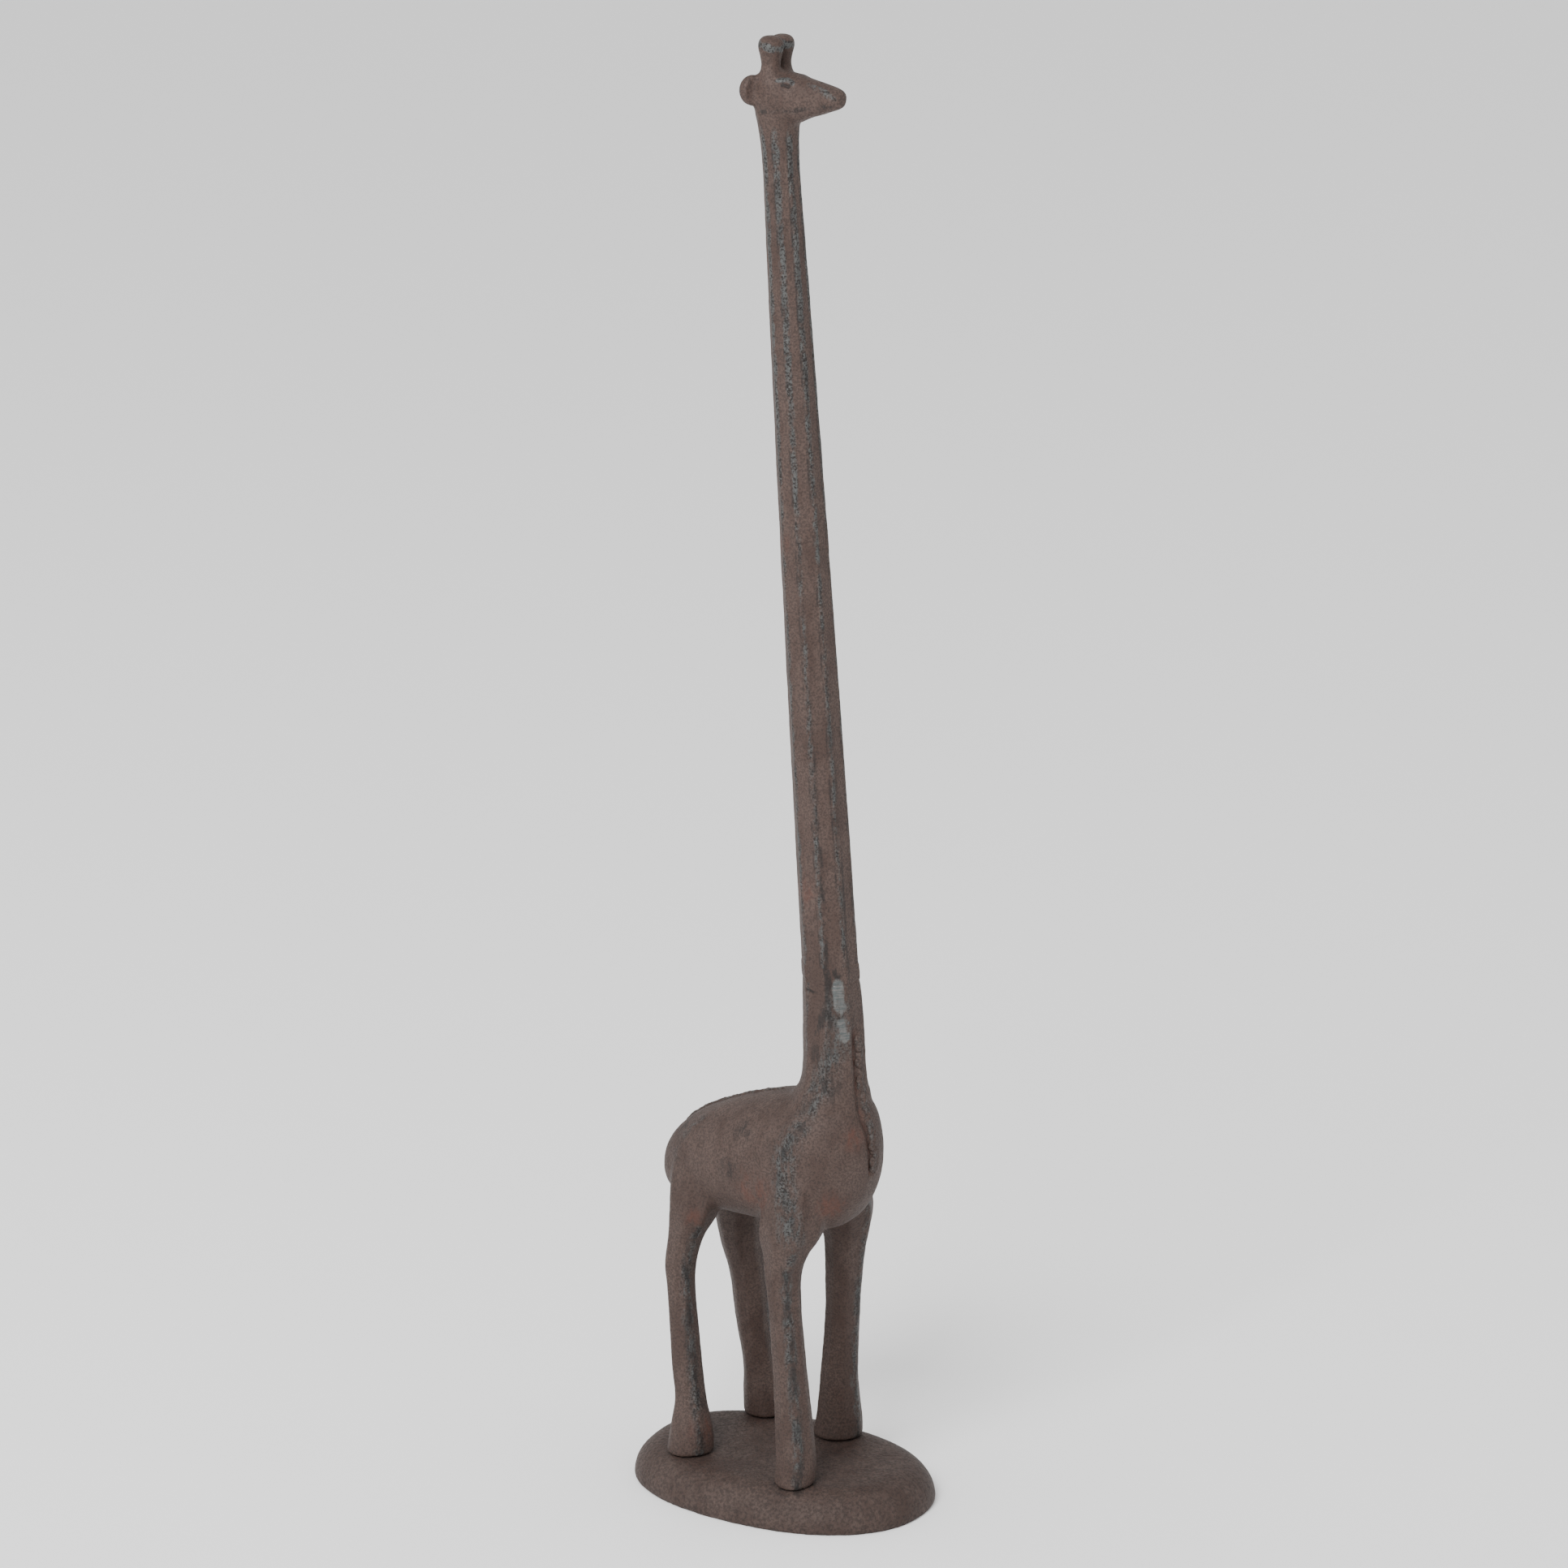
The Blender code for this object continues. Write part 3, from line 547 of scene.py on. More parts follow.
def facets(angles, melt, first=22.5):
    """Unit outline with eight flats of reach 1, its corners melted into a round by the given share."""
    step = math.pi / 4
    off = np.mod(angles - math.radians(first), step) - step / 2
    reach = (1 - melt) / np.cos(off) + melt * 1.02
    return np.stack([np.cos(angles) * reach, np.sin(angles) * reach], 1)


def level_ring(outline, x, y, z, size_x, size_y):
    ring = np.empty((len(outline), 3))
    ring[:, 0] = x + outline[:, 0] * size_x / 2
    ring[:, 1] = y + outline[:, 1] * size_y / 2
    ring[:, 2] = z
    return ring


def upright_ring(outline, x, z, width, depth):
    """Ring across X, with its middle at z."""
    ring = np.empty((len(outline), 3))
    ring[:, 0] = x
    ring[:, 1] = outline[:, 0] * width / 2
    ring[:, 2] = z + outline[:, 1] * depth / 2
    return ring


def near_path(points, path, reach):
    """1 on a path given in millimetres, falling to nothing at about twice the reach."""
    path = np.array(path) * MM
    nearest = np.full(len(points), np.inf)
    for a, b in zip(path, path[1:]):
        along = b - a
        t = np.clip((points - a) @ along / (along @ along), 0, 1)
        nearest = np.minimum(nearest, np.linalg.norm(points - a - t[:, None] * along, axis=1))
    return np.exp(-((nearest / reach) ** 2))


def near_spots(points, spots):
    """1 in the middle of the nearest spot, falling to nothing outside it."""
    result = np.zeros(len(points))
    for middle, radius in spots:
        away = np.linalg.norm(points - np.array(middle) * MM, axis=1) / (radius * MM)
        result = np.maximum(result, np.exp(-(away**2)))
    return result


def both_sides(points, path, reach):
    """Closeness to a path and to its mirror image across the middle plane."""
    mirrored = [(x, -y, z) for x, y, z in path]
    return np.maximum(near_path(points, path, reach), near_path(points, mirrored, reach))


def on_cheek(points, path, reach):
    """Closeness to a mark drawn on both sides of the head, seen straight from the side."""
    flat = points * (1, 0, 1)
    aside = np.clip(np.abs(points[:, 1]) / MM - 2, 0, 1) * (points[:, 2] > NECK_TOP - MM)
    return near_path(flat, [(x, 0, z) for x, z in path], reach) * aside


def strongest(*marks):
    return np.maximum.reduce(marks)


# --- Foot ---


def foot_outline(inset):
    """Half sizes of the foot's outline, drawn in by inset."""
    return BASE_LENGTH / 2 - inset, BASE_WIDTH / 2 - inset


def foot_level(x, y):
    """Height of the foot's top over a place, found in the foot's own turned directions."""
    c, s = math.cos(BASE_TURN), math.sin(BASE_TURN)
    u, v = x * c + y * s, y * c - x * s
    low, high = np.zeros_like(u), np.full_like(u, BASE_WIDTH / 2 - MM)
    for _ in range(24):
        inset = (low + high) / 2
        a, b = foot_outline(inset)
        inside = np.abs(u / a) ** BASE_SQUARENESS + np.abs(v / b) ** BASE_SQUARENESS < 1
        low, high = np.where(inside, inset, low), np.where(inside, high, inset)
    angle = np.arccos(np.clip(1 - low / BASE_SHOULDER, 0, 1))
    return BASE_SKIRT + (BASE_TOP - BASE_SKIRT) * np.sin(angle)


def foot_ring(outline, inset, level, shrink=1.0):
    a, b = foot_outline(inset)
    ring = level_ring(outline, 0, 0, level, 2 * a * shrink, 2 * b * shrink)
    c, s = math.cos(BASE_TURN), math.sin(BASE_TURN)
    ring[:, :2] = np.stack([ring[:, 0] * c - ring[:, 1] * s, ring[:, 0] * s + ring[:, 1] * c], 1)
    return ring


def foot_shells():
    """The domed shell, from the middle of its ceiling down inside, out under the rim and up over the top."""
    angles = turn(192)
    outline = oval(angles, BASE_SQUARENESS)
    uneven = 1 - BLUNT_END * np.exp(-(((angles - math.pi) / BLUNT_END_SPREAD) ** 2))
    uneven += sum(height * np.sin(waves * angles + start) for height, waves, start in OUTLINE_WAVES)
    outline *= uneven[:, None]
    spans = np.linspace(0.02, 1, 14)
    bends = np.linspace(0, math.pi / 2, 14)
    ceiling = BASE_TOP - BASE_WALL
    rings = [foot_ring(outline, BASE_SHOULDER, ceiling, share) for share in spans[:-1]]
    for bend in bends[::-1]:
        inset = BASE_WALL + (BASE_SHOULDER - BASE_WALL) * (1 - math.cos(bend))
        rings.append(foot_ring(outline, inset, ceiling * math.sin(bend)))
    rings.append(foot_ring(outline, RIM_ROUND, 0))
    for bend in bends:
        level = BASE_SKIRT + (BASE_TOP - BASE_SKIRT) * math.sin(bend)
        rings.append(foot_ring(outline, BASE_SHOULDER * (1 - math.cos(bend)), level))
    rings += [foot_ring(outline, BASE_SHOULDER, BASE_TOP, share) for share in spans[-2::-1]]
    round_outline = oval(turn(48), 2)
    shells = [rings]
    for leg in LEGS:
        x, y = sole(leg)
        levels = (SEAT_LEVEL, SEAT_LEVEL + BASE_WALL / 2, BASE_TOP - BASE_WALL / 2)
        shells.append([level_ring(round_outline, x, y, z, 2 * SEAT_RADIUS, 2 * SEAT_RADIUS) for z in levels])
    return shells


# --- Body ---


def sole(leg):
    """X and Y of the middle of a hoof's sole."""
    return LEG_SHAPES[leg][0][1] * MM, LEG_SHAPES[leg][0][2] * MM


def leg_stations(leg):
    """X, Y, level and thickness down a leg, from hoof to top."""
    own = HIND_LEG_THICKNESS if leg.endswith("hind") else FORE_LEG_THICKNESS
    rows = smooth_stations(LEG_SHAPES[leg], 10)
    size = rows[:, 3] * own + rows[:, 4] * HOOF_DIAMETER
    return np.stack([rows[:, 1] * MM, rows[:, 2] * MM, BASE_TOP + rows[:, 0] * (BELLY - BASE_TOP), size], 1)


def leg_rings(leg):
    """A soft eight-sided bar with one stronger ridge, its sole shaped to the foot's top."""
    angles = turn(64)
    ridge = math.radians(LEG_RIDGES[leg])
    off = np.mod(angles - ridge + math.pi, 2 * math.pi) - math.pi
    accent = (LEG_SLIMMING + LEG_RIDGE * np.exp(-((off / 0.30) ** 2)))[:, None]
    hoof = facets(angles, HOOF_MELT, LEG_RIDGES[leg])
    shank = facets(angles, LEG_MELT, LEG_RIDGES[leg]) * accent
    stations = leg_stations(leg)
    x, y, _, size = stations[0]
    rings = []
    for shrink in (0.1, 0.5, 0.8, 0.93):
        ring = level_ring(hoof, x, y, 0, size * shrink, size * shrink)
        ring[:, 2] = foot_level(ring[:, 0], ring[:, 1]) + GAP
        rings.append(ring)
    for x, y, z, size in stations:
        melted = math.exp(-(((z - BASE_TOP) / HOOF_HEIGHT) ** 2))
        ring = level_ring(melted * hoof + (1 - melted) * shank, x, y, z, size, size)
        ring[:, 2] = np.maximum(ring[:, 2], foot_level(ring[:, 0], ring[:, 1]) + GAP + SOLE_ROUND)
        rings.append(ring)
    return rings


def torso_stations(inset=0.0):
    rows = smooth_stations(TORSO_SHAPE, 6)
    x = TORSO_MIDDLE_X + rows[:, 0] * TORSO_LENGTH / 2
    top, under = BELLY + rows[:, 1] * TORSO_DEPTH - inset, BELLY + rows[:, 2] * TORSO_DEPTH + inset
    width = rows[:, 3] * TORSO_WIDTH - 2 * inset
    stations = np.stack([x, (top + under) / 2, width, top - under], 1)
    inside = (x >= x[0] + inset) & (x <= x[-1] - inset)
    return stations[inside & (stations[:, 2:].min(1) > inset)]


def torso_rings(inset=0.0, sides=96):
    outline = oval(turn(sides), 2.25)
    return [upright_ring(outline, *station) for station in torso_stations(inset)]


def stub_rings():
    """The neck stub, from the face that meets the neck down into the torso."""
    angles = turn(96)
    rings = [level_ring(facets(angles, 0.1), NECK_FOOT_X, 0, JOINT - GAP / 2, JOINT_CORE, JOINT_CORE)]
    for drop, x, size_x, size_y, melt in smooth_stations(STUB_SHAPE, 6):
        outline = facets(angles, melt)
        rings.append(level_ring(outline, x * MM, 0, JOINT - drop * MM, size_x * MM, size_y * MM))
    return rings


def leg_ridge_path(leg):
    """The strong ridge from the hoof to the belly, in millimetres."""
    direction = math.radians(LEG_RIDGES[leg])
    return [
        ((x + math.cos(direction) * size / 2) / MM, (y + math.sin(direction) * size / 2) / MM, z / MM)
        for x, y, z, size in leg_stations(leg)[: 8 * 10 : 5]
    ]


def shape_body(body):
    """Raises the blunt ridges, sinks the torn chest edge and the cracks, and marks the finish."""
    points = points_of(body)
    shoulder = both_sides(points, SHOULDER_RIDGE, RIDGE_REACH)
    burnish = both_sides(points, SHOULDER_RIDGE, BURNISH_REACH)
    rump = both_sides(points, RUMP_RIDGE, RIDGE_REACH)
    legs = strongest(*(near_path(points, leg_ridge_path(leg), LEG_RIDGE_REACH) for leg in LEGS))
    tear = near_path(points, CHEST_TEAR, TEAR_REACH)
    cracks = joint_cracks(points, CRACK_REACH)
    lift = SHOULDER_RISE * shoulder + RUMP_RISE * rump - TEAR_DEPTH * tear - CRACK_DEPTH * cracks
    set_points(body, points + normals_of(body) * lift[:, None])
    rub = strongest(0.8 * legs, 0.85 * burnish, 0.6 * rump, 0.6 * stub_edges(points))
    dark_ridges = strongest(0.62 * legs, 0.5 * burnish, 0.45 * rump)
    spots = near_spots(points, SOOT_PATCHES)
    soot = strongest(0.62 * spots, 0.55 * tear, cracks, dark_ridges, joint_soot(points))
    set_attribute(body, "rub", rub)
    set_attribute(body, "soot", soot)
    set_attribute(body, "rust", strongest(near_spots(points, RUST_PATCHES), 0.8 * tear))
    set_attribute(body, "bare", ground_patches(points))


def stub_edges(points):
    """Closeness to the neck stub's eight edges, fading towards the shoulders."""
    x, y = points[:, 0] - 20 * MM, points[:, 1]
    off = np.abs(np.mod(np.arctan2(y, x), math.pi / 4) - math.pi / 8)
    fade = np.clip((points[:, 2] - (JOINT - 45 * MM)) / (20 * MM), 0, 1)
    return np.exp(-((off * np.hypot(x, y) / STUB_EDGE_REACH) ** 2)) * fade


def joint_cracks(points, reach):
    return strongest(*(near_path(points, crack, reach) for crack in JOINT_CRACKS))


def neck_middle(level):
    """X of the middle of the leaning neck at a level."""
    return NECK_FOOT_X - NECK_LEAN * (level - JOINT)


def soot_beside(points):
    """Dark streaks beside the edges of the neck near its joint, strongest at the right front."""
    angle = np.degrees(np.arctan2(points[:, 1], points[:, 0] - neck_middle(points[:, 2])))
    streaks = ((1.0, -61, 7), (0.8, -14, 7), (0.6, 60, 8))
    beside = sum(share * np.exp(-(((angle - middle) / spread) ** 2)) for share, middle, spread in streaks)
    reach = np.where(points[:, 2] > JOINT, 110 * MM, 30 * MM)
    return 0.85 * beside * np.exp(-(((points[:, 2] - JOINT) / reach) ** 2))


def joint_soot(points):
    """Soot round the neck joint: the streaks beside its edges and the broken smears."""
    smears = (both_sides(points, smear, SMEAR_REACH) for smear in JOINT_SMEARS)
    return strongest(soot_beside(points), *(1.1 * smear for smear in smears))


def ground_patches(points):
    """Flats ground on the right front edge at the neck joint, with the wheel's waves across them."""
    ground = np.zeros(len(points))
    for x, y, high, low in GROUND_PATCHES:
        ground = strongest(ground, near_path(points, ((x, y, high - 2), (x + 0.8, y, low + 2)), GROUND_REACH))
    wave = 0.12 * np.sin(points[:, 2] / (0.8 * MM)) + 0.10 * np.sin(points[:, 2] / (2.1 * MM) + 1)
    return np.clip(1.7 * ground - 0.45 + wave * (ground > 0.1), 0, 1)


# --- Neck and head ---


def neck_at(level):
    """X of the middle and size across flats of the neck at a level."""
    t = (level - JOINT) / NECK_LENGTH
    flats = NECK_FOOT_FLATS + (NECK_TOP_FLATS - NECK_FOOT_FLATS) * t
    belly = NECK_BELLY * 4 * max(t, 0) * max(1 - t, 0)
    flare = NECK_FLARE * max(0, 1 - (NECK_TOP - level) / NECK_FLARE_LENGTH) ** 2
    return neck_middle(level), flats + belly + flare


def neck_rings():
    """The neck up into the skull, and the spigot under it."""
    angles = turn(96)
    neck = [level_ring(facets(angles, 0.05), NECK_FOOT_X, 0, JOINT + GAP / 2, JOINT_CORE, JOINT_CORE)]
    for level in np.linspace(JOINT + GROOVE_HALF, NECK_TOP, 60):
        x, flats = neck_at(level)
        melt = 0.04 + 0.5 * max(0, 1 - (NECK_TOP - level) / NECK_FLARE_LENGTH)
        neck.append(level_ring(facets(angles, melt), x, 0, level, flats, flats))
    nape_level = NECK_TOP + HEAD_DEPTH / 3
    neck.append(level_ring(facets(angles, 0.6), NECK_TOP_X, 0, nape_level, NAPE_WIDTH, NAPE_WIDTH))
    spigot = [
        level_ring(oval(angles, 2), NECK_FOOT_X, 0, level, 2 * SPIGOT_RADIUS, 2 * SPIGOT_RADIUS)
        for level in (SPIGOT_FLOOR, JOINT, JOINT + 6 * MM)
    ]
    return neck, spigot


def skull_rings():
    outline = oval(turn(64), 2.25)
    outline[:, 1] *= np.where(outline[:, 1] < 0, JAW_SWELL, 1)
    rings = []
    for along, rise, width, depth in smooth_stations(HEAD_SHAPE, 6):
        x, level = HEAD_BACK_X + along * HEAD_LENGTH, NECK_TOP + rise * MM
        rings.append(upright_ring(outline, x, level, width * HEAD_WIDTH, depth * HEAD_DEPTH))
    return rings


def ear_rings(side):
    """A leaf that stands out and back from the skull, dished on its outer front."""
    angles = turn(40)
    outline = oval(angles, 2)
    length, thickness, height = EAR_SIZE
    c, s = math.cos(EAR_SPLAY), math.sin(EAR_SPLAY)
    rings = []
    for lift in np.linspace(-0.98, 0.98, 30):
        reach = math.sqrt(1 - lift**2)
        along, across = outline[:, 0] * reach * length / 2, outline[:, 1] * reach * thickness / 2
        dish = np.clip(1 - ((outline[:, 0] * reach - 0.2) / 0.66) ** 2 - (lift / 0.86) ** 2, 0, 1)
        across -= np.where(outline[:, 1] > 0, dish, 0) * thickness * EAR_DISH
        ring = np.empty((len(angles), 3))
        ring[:, 0] = EAR_PLACE[0] + along * c + across * s
        ring[:, 1] = side * (EAR_PLACE[1] + across * c - along * s)
        ring[:, 2] = NECK_TOP + EAR_PLACE[2] + lift * height / 2
        rings.append(ring)
    return rings


def horn_rings(side):
    """A waisted horn with a knob at its tip."""
    outline = oval(turn(40), 2)
    rings = []
    for height, thickness in smooth_stations(HORN_SHAPE, 5):
        size = thickness * HORN_DIAMETERS[side]
        level = NECK_TOP + HORN_PLACE[2] + height * HORN_HEIGHTS[side]
        x = HORN_PLACE[0] - side * HORN_STAGGER
        rings.append(level_ring(outline, x, side * HORN_PLACE[1], level, size, size))
    return rings


def neck_streaks(points):
    """Closeness to the neck's eight edges, and to the crease that runs beside each one."""
    x, y, level = points[:, 0] - neck_middle(points[:, 2]), points[:, 1], points[:, 2]
    angle, radius = np.arctan2(y, x), np.hypot(x, y)
    below_head = np.clip((NECK_TOP - 2 * MM - level) / (6 * MM), 0, 1)
    off = np.abs(np.mod(angle, math.pi / 4) - math.pi / 8)
    beside = np.mod(angle + math.pi / 8, math.pi / 4) - math.pi / 4
    edges = np.exp(-((off * radius / EDGE_REACH) ** 2)) * below_head
    creases = np.exp(-(((beside * radius + CREASE_OFFSET) / CREASE_REACH) ** 2)) * below_head
    return edges, creases


def shape_neck(neck):
    """Adds the eyes and the jaw line, and marks where the finish changes and where shade and highlights are
    painted.
    """
    points, normals = points_of(neck), normals_of(neck)
    lids, pupils = on_cheek(points, EYELID, LID_REACH), on_cheek(points, PUPIL, PUPIL_REACH)
    jaw, muzzle = on_cheek(points, JAW, JAW_REACH), on_cheek(points, MUZZLE_TOP, JAW_REACH)
    lift = LID_RISE * lids - PUPIL_DEPTH * pupils - JAW_DEPTH * jaw
    set_points(neck, points + normals * lift[:, None])
    level = points[:, 2]
    edges, creases = neck_streaks(points)
    worn = np.clip((level - 250 * MM) / (140 * MM), 0.55, 1)
    crown = level - HORN_BAND_LEVEL + HORN_BAND_SLOPE * (points[:, 0] - HORN_PLACE[0])
    horn_band = np.exp(-((crown / HORN_BAND_REACH) ** 2)) * (level > NECK_TOP + HORN_PLACE[2] + 6 * MM)
    # Painted highlight: the outer back rims of the ears are made lighter, as if catching the light
    rear, aside = -points[:, 0] / MM - 9.0, np.abs(points[:, 1]) / MM - 6.5
    ear_rim = np.clip(rear, 0, 1) * np.clip(aside, 0, 1)
    # Painted shade in the dished bowl of each ear
    ear_bowl = both_sides(points, EAR_BOWL, EAR_BOWL_REACH)
    # Painted shade: the head's downward-facing underside is darkened
    under_jaw = np.clip(-normals[:, 2] - 0.2, 0, 1) * (level > NECK_TOP)
    rub = strongest(1.5 * edges * worn, 2.2 * horn_band, 0.85 * muzzle, 1.5 * lids, ear_rim, 0.4 * jaw)
    head_marks_and_shade = strongest(2 * pupils, 0.8 * jaw, 0.5 * ear_bowl, 0.4 * muzzle, 0.45 * under_jaw)
    band_soot = 0.7 * horn_band * (np.abs(crown) > 0.8 * MM)
    soot = strongest(head_marks_and_shade, band_soot, 0.45 * edges, 0.6 * creases, joint_soot(points))
    set_attribute(neck, "rub", rub)
    set_attribute(neck, "soot", soot)
    set_attribute(neck, "rust", near_spots(points, NECK_RUST_PATCHES))
    set_attribute(neck, "bare", ground_patches(points))


# --- Geometry node trees ---


def node(tree, kind, inputs=None, **settings):
    """A node with its settings, and its inputs as values or as sockets to join."""
    made = tree.nodes.new(kind)
    for name, value in settings.items():
        setattr(made, name, value)
    for key, value in (inputs or {}).items():
        if isinstance(value, bpy.types.NodeSocket):
            tree.links.new(value, made.inputs[key])
        else:
            made.inputs[key].default_value = value
    return made


def math_node(tree, operation, *values, clamp=False):
    inputs = dict(enumerate(values))
    return node(tree, "ShaderNodeMath", inputs, operation=operation, use_clamp=clamp).outputs[0]


def less(tree, first, second):
    return math_node(tree, "SUBTRACT", first, second)


def times(tree, first, second):
    return math_node(tree, "MULTIPLY", first, second)


def plus(tree, first, second):
    return math_node(tree, "ADD", first, second)


def new_tree(name, kind, inputs, outputs):
    """A node group with named sockets, given as (name, kind of socket, default)."""
    tree = bpy.data.node_groups.new(name, kind)
    for label, socket, value in inputs:
        made = tree.interface.new_socket(label, in_out="INPUT", socket_type="NodeSocket" + socket)
        if value is not None:
            made.default_value = value
    for label, socket in outputs:
        tree.interface.new_socket(label, in_out="OUTPUT", socket_type="NodeSocket" + socket)
    return tree, tree.nodes.new("NodeGroupInput").outputs, tree.nodes.new("NodeGroupOutput").inputs


def noise_swell(tree, vector, size, height, detail):
    """Noise about zero, of a given size and height."""
    scale = math_node(tree, "DIVIDE", 1.0, size)
    noise = node(tree, "ShaderNodeTexNoise", {"Vector": vector, "Scale": scale, "Detail": detail})
    return times(tree, less(tree, noise.outputs[0], 0.5), height)


def finish_skin(tree, skin, lift, material, out):
    """Moves a surface along its normals, gives it its material and ends the tree."""
    normal = node(tree, "GeometryNodeInputNormal").outputs[0]
    offset = node(tree, "ShaderNodeVectorMath", {0: normal, "Scale": lift}, operation="SCALE").outputs[0]
    moved = node(tree, "GeometryNodeSetPosition", {"Geometry": skin, "Offset": offset})
    real = node(tree, "GeometryNodeRealizeInstances", {0: moved.outputs[0]})
    done = node(tree, "GeometryNodeSetMaterial", {"Geometry": real.outputs[0], "Material": material})
    tree.links.new(done.outputs[0], out)


def cast_skin_tree():
    """Swells and ripples a surface along its normals, the way sand casting does."""
    tree, given, out = new_tree(
        "cast_skin",
        "GeometryNodeTree",
        [
            ("Geometry", "Geometry", None), ("Lump Size", "Float", 0.009), ("Lump Height", "Float", 0.0004),
            ("Ripple Size", "Float", 0.0017), ("Ripple Height", "Float", 0.0001),
            ("Material", "Material", None),
        ],
        [("Geometry", "Geometry")],
    )
    place = node(tree, "GeometryNodeInputPosition").outputs[0]
    lumps = noise_swell(tree, place, given["Lump Size"], given["Lump Height"], 1.0)
    ripples = noise_swell(tree, place, given["Ripple Size"], given["Ripple Height"], 2.0)
    finish_skin(tree, given["Geometry"], plus(tree, lumps, ripples), given["Material"], out[0])
    return tree


def weld_bead_tree():
    """Ragged bead of metal along a path, thinned out towards both ends."""
    tree, given, out = new_tree(
        "weld_bead",
        "GeometryNodeTree",
        [
            ("Path", "Geometry", None), ("Radius", "Float", 0.001), ("Raggedness", "Float", 0.8),
            ("Lump Size", "Float", 0.003), ("Step", "Float", 0.0003), ("Material", "Material", None),
        ],
        [("Geometry", "Geometry")],
    )
    place = node(tree, "GeometryNodeInputPosition").outputs[0]
    steps = {"Curve": given["Path"], "Length": given["Step"]}
    path = node(tree, "GeometryNodeResampleCurve", steps, mode="LENGTH").outputs[0]
    swell = noise_swell(tree, place, given["Lump Size"], given["Raggedness"], 2.0)
    along = node(tree, "GeometryNodeSplineParameter").outputs["Factor"]
    to_end = math_node(tree, "MINIMUM", along, less(tree, 1.0, along))
    taper = math_node(tree, "SQRT", math_node(tree, "MULTIPLY", to_end, 8.0, clamp=True))
    size = times(tree, given["Radius"], times(tree, plus(tree, 1.0, swell), taper))
    radius = math_node(tree, "MAXIMUM", size, 0.05 * MM)
    profile = node(tree, "GeometryNodeCurvePrimitiveCircle", {"Resolution": 20, "Radius": 1.0}).outputs[0]
    sweep = {"Curve": path, "Profile Curve": profile, "Scale": radius, "Fill Caps": True}
    bead = node(tree, "GeometryNodeCurveToMesh", sweep).outputs[0]
    fine_size = math_node(tree, "DIVIDE", given["Lump Size"], 3.0)
    fine = noise_swell(tree, place, fine_size, times(tree, given["Radius"], 0.8), 2.0)
    finish_skin(tree, bead, fine, given["Material"], out[0])
    return tree


def run_tree(item, tree, **values):
    """Puts a tree on an object with its inputs set, and turns the result into a plain mesh."""
    modifier = item.modifiers.new(tree.name, "NODES")
    modifier.node_group = tree
    for socket in tree.interface.items_tree:
        label = socket.name.lower().replace(" ", "_")
        if socket.in_out == "INPUT" and label in values:
            modifier[socket.identifier] = values[label]
    data = evaluated_mesh(item)
    name = item.name
    if item.type == "MESH":
        item.modifiers.clear()
        item.data = data
        return item
    bpy.data.objects.remove(item)
    return placed(name, data)


def kept_tree(name, build):
    """The tree of this name, built the first time that it is asked for."""
    return bpy.data.node_groups.get(name) or build()


def cast_skin(item, shape, material, share=1.0):
    """Gives a mesh its material and a share of the swells and ripples of a sand casting."""
    run_tree(
        item,
        kept_tree("cast_skin", cast_skin_tree),
        lump_size=shape.lump_size,
        lump_height=shape.lump_height * share,
        ripple_size=shape.ripple_size,
        ripple_height=shape.ripple_height * share,
        material=material,
    )


def path_object(name, points):
    curve = bpy.data.curves.new(name, "CURVE")
    curve.dimensions = "3D"
    spline = curve.splines.new("POLY")
    spline.points.add(len(points) - 1)
    for spot, (x, y, z) in zip(spline.points, points):
        spot.co = (x, y, z, 1)
    return placed(name, curve)


# --- Materials ---


def texture_noise(tree, vector, size, detail, rough=0.5):
    inputs = {"Vector": vector, "Scale": 1 / size, "Detail": detail, "Roughness": rough}
    return node(tree, "ShaderNodeTexNoise", inputs).outputs[0]


def step_mask(tree, value, low, high):
    """0 below low, 1 above high, smooth between."""
    inputs = {"Value": value, "From Min": low, "From Max": high}
    return node(tree, "ShaderNodeMapRange", inputs, interpolation_type="SMOOTHSTEP").outputs[0]


def mixed(tree, share, first, second):
    """A colour that goes from the first to the second as the share goes from 0 to 1."""
    made = node(tree, "ShaderNodeMix", {"Factor": share}, data_type="RGBA")
    for socket, value in ((made.inputs[6], first), (made.inputs[7], second)):
        if isinstance(value, bpy.types.NodeSocket):
            tree.links.new(value, socket)
        else:
            socket.default_value = value
    return made.outputs[2]


def stretched(tree, place, factors):
    return node(tree, "ShaderNodeVectorMath", {0: place, 1: factors}, operation="MULTIPLY").outputs[0]


GRAIN_MASKS = ("Pits", "Patches", "Breaks", "Smears", "Scratches")
IRON_COLOURS = ("Iron", "Pale Iron", "Soot", "Rubbed", "Rust", "Ground")


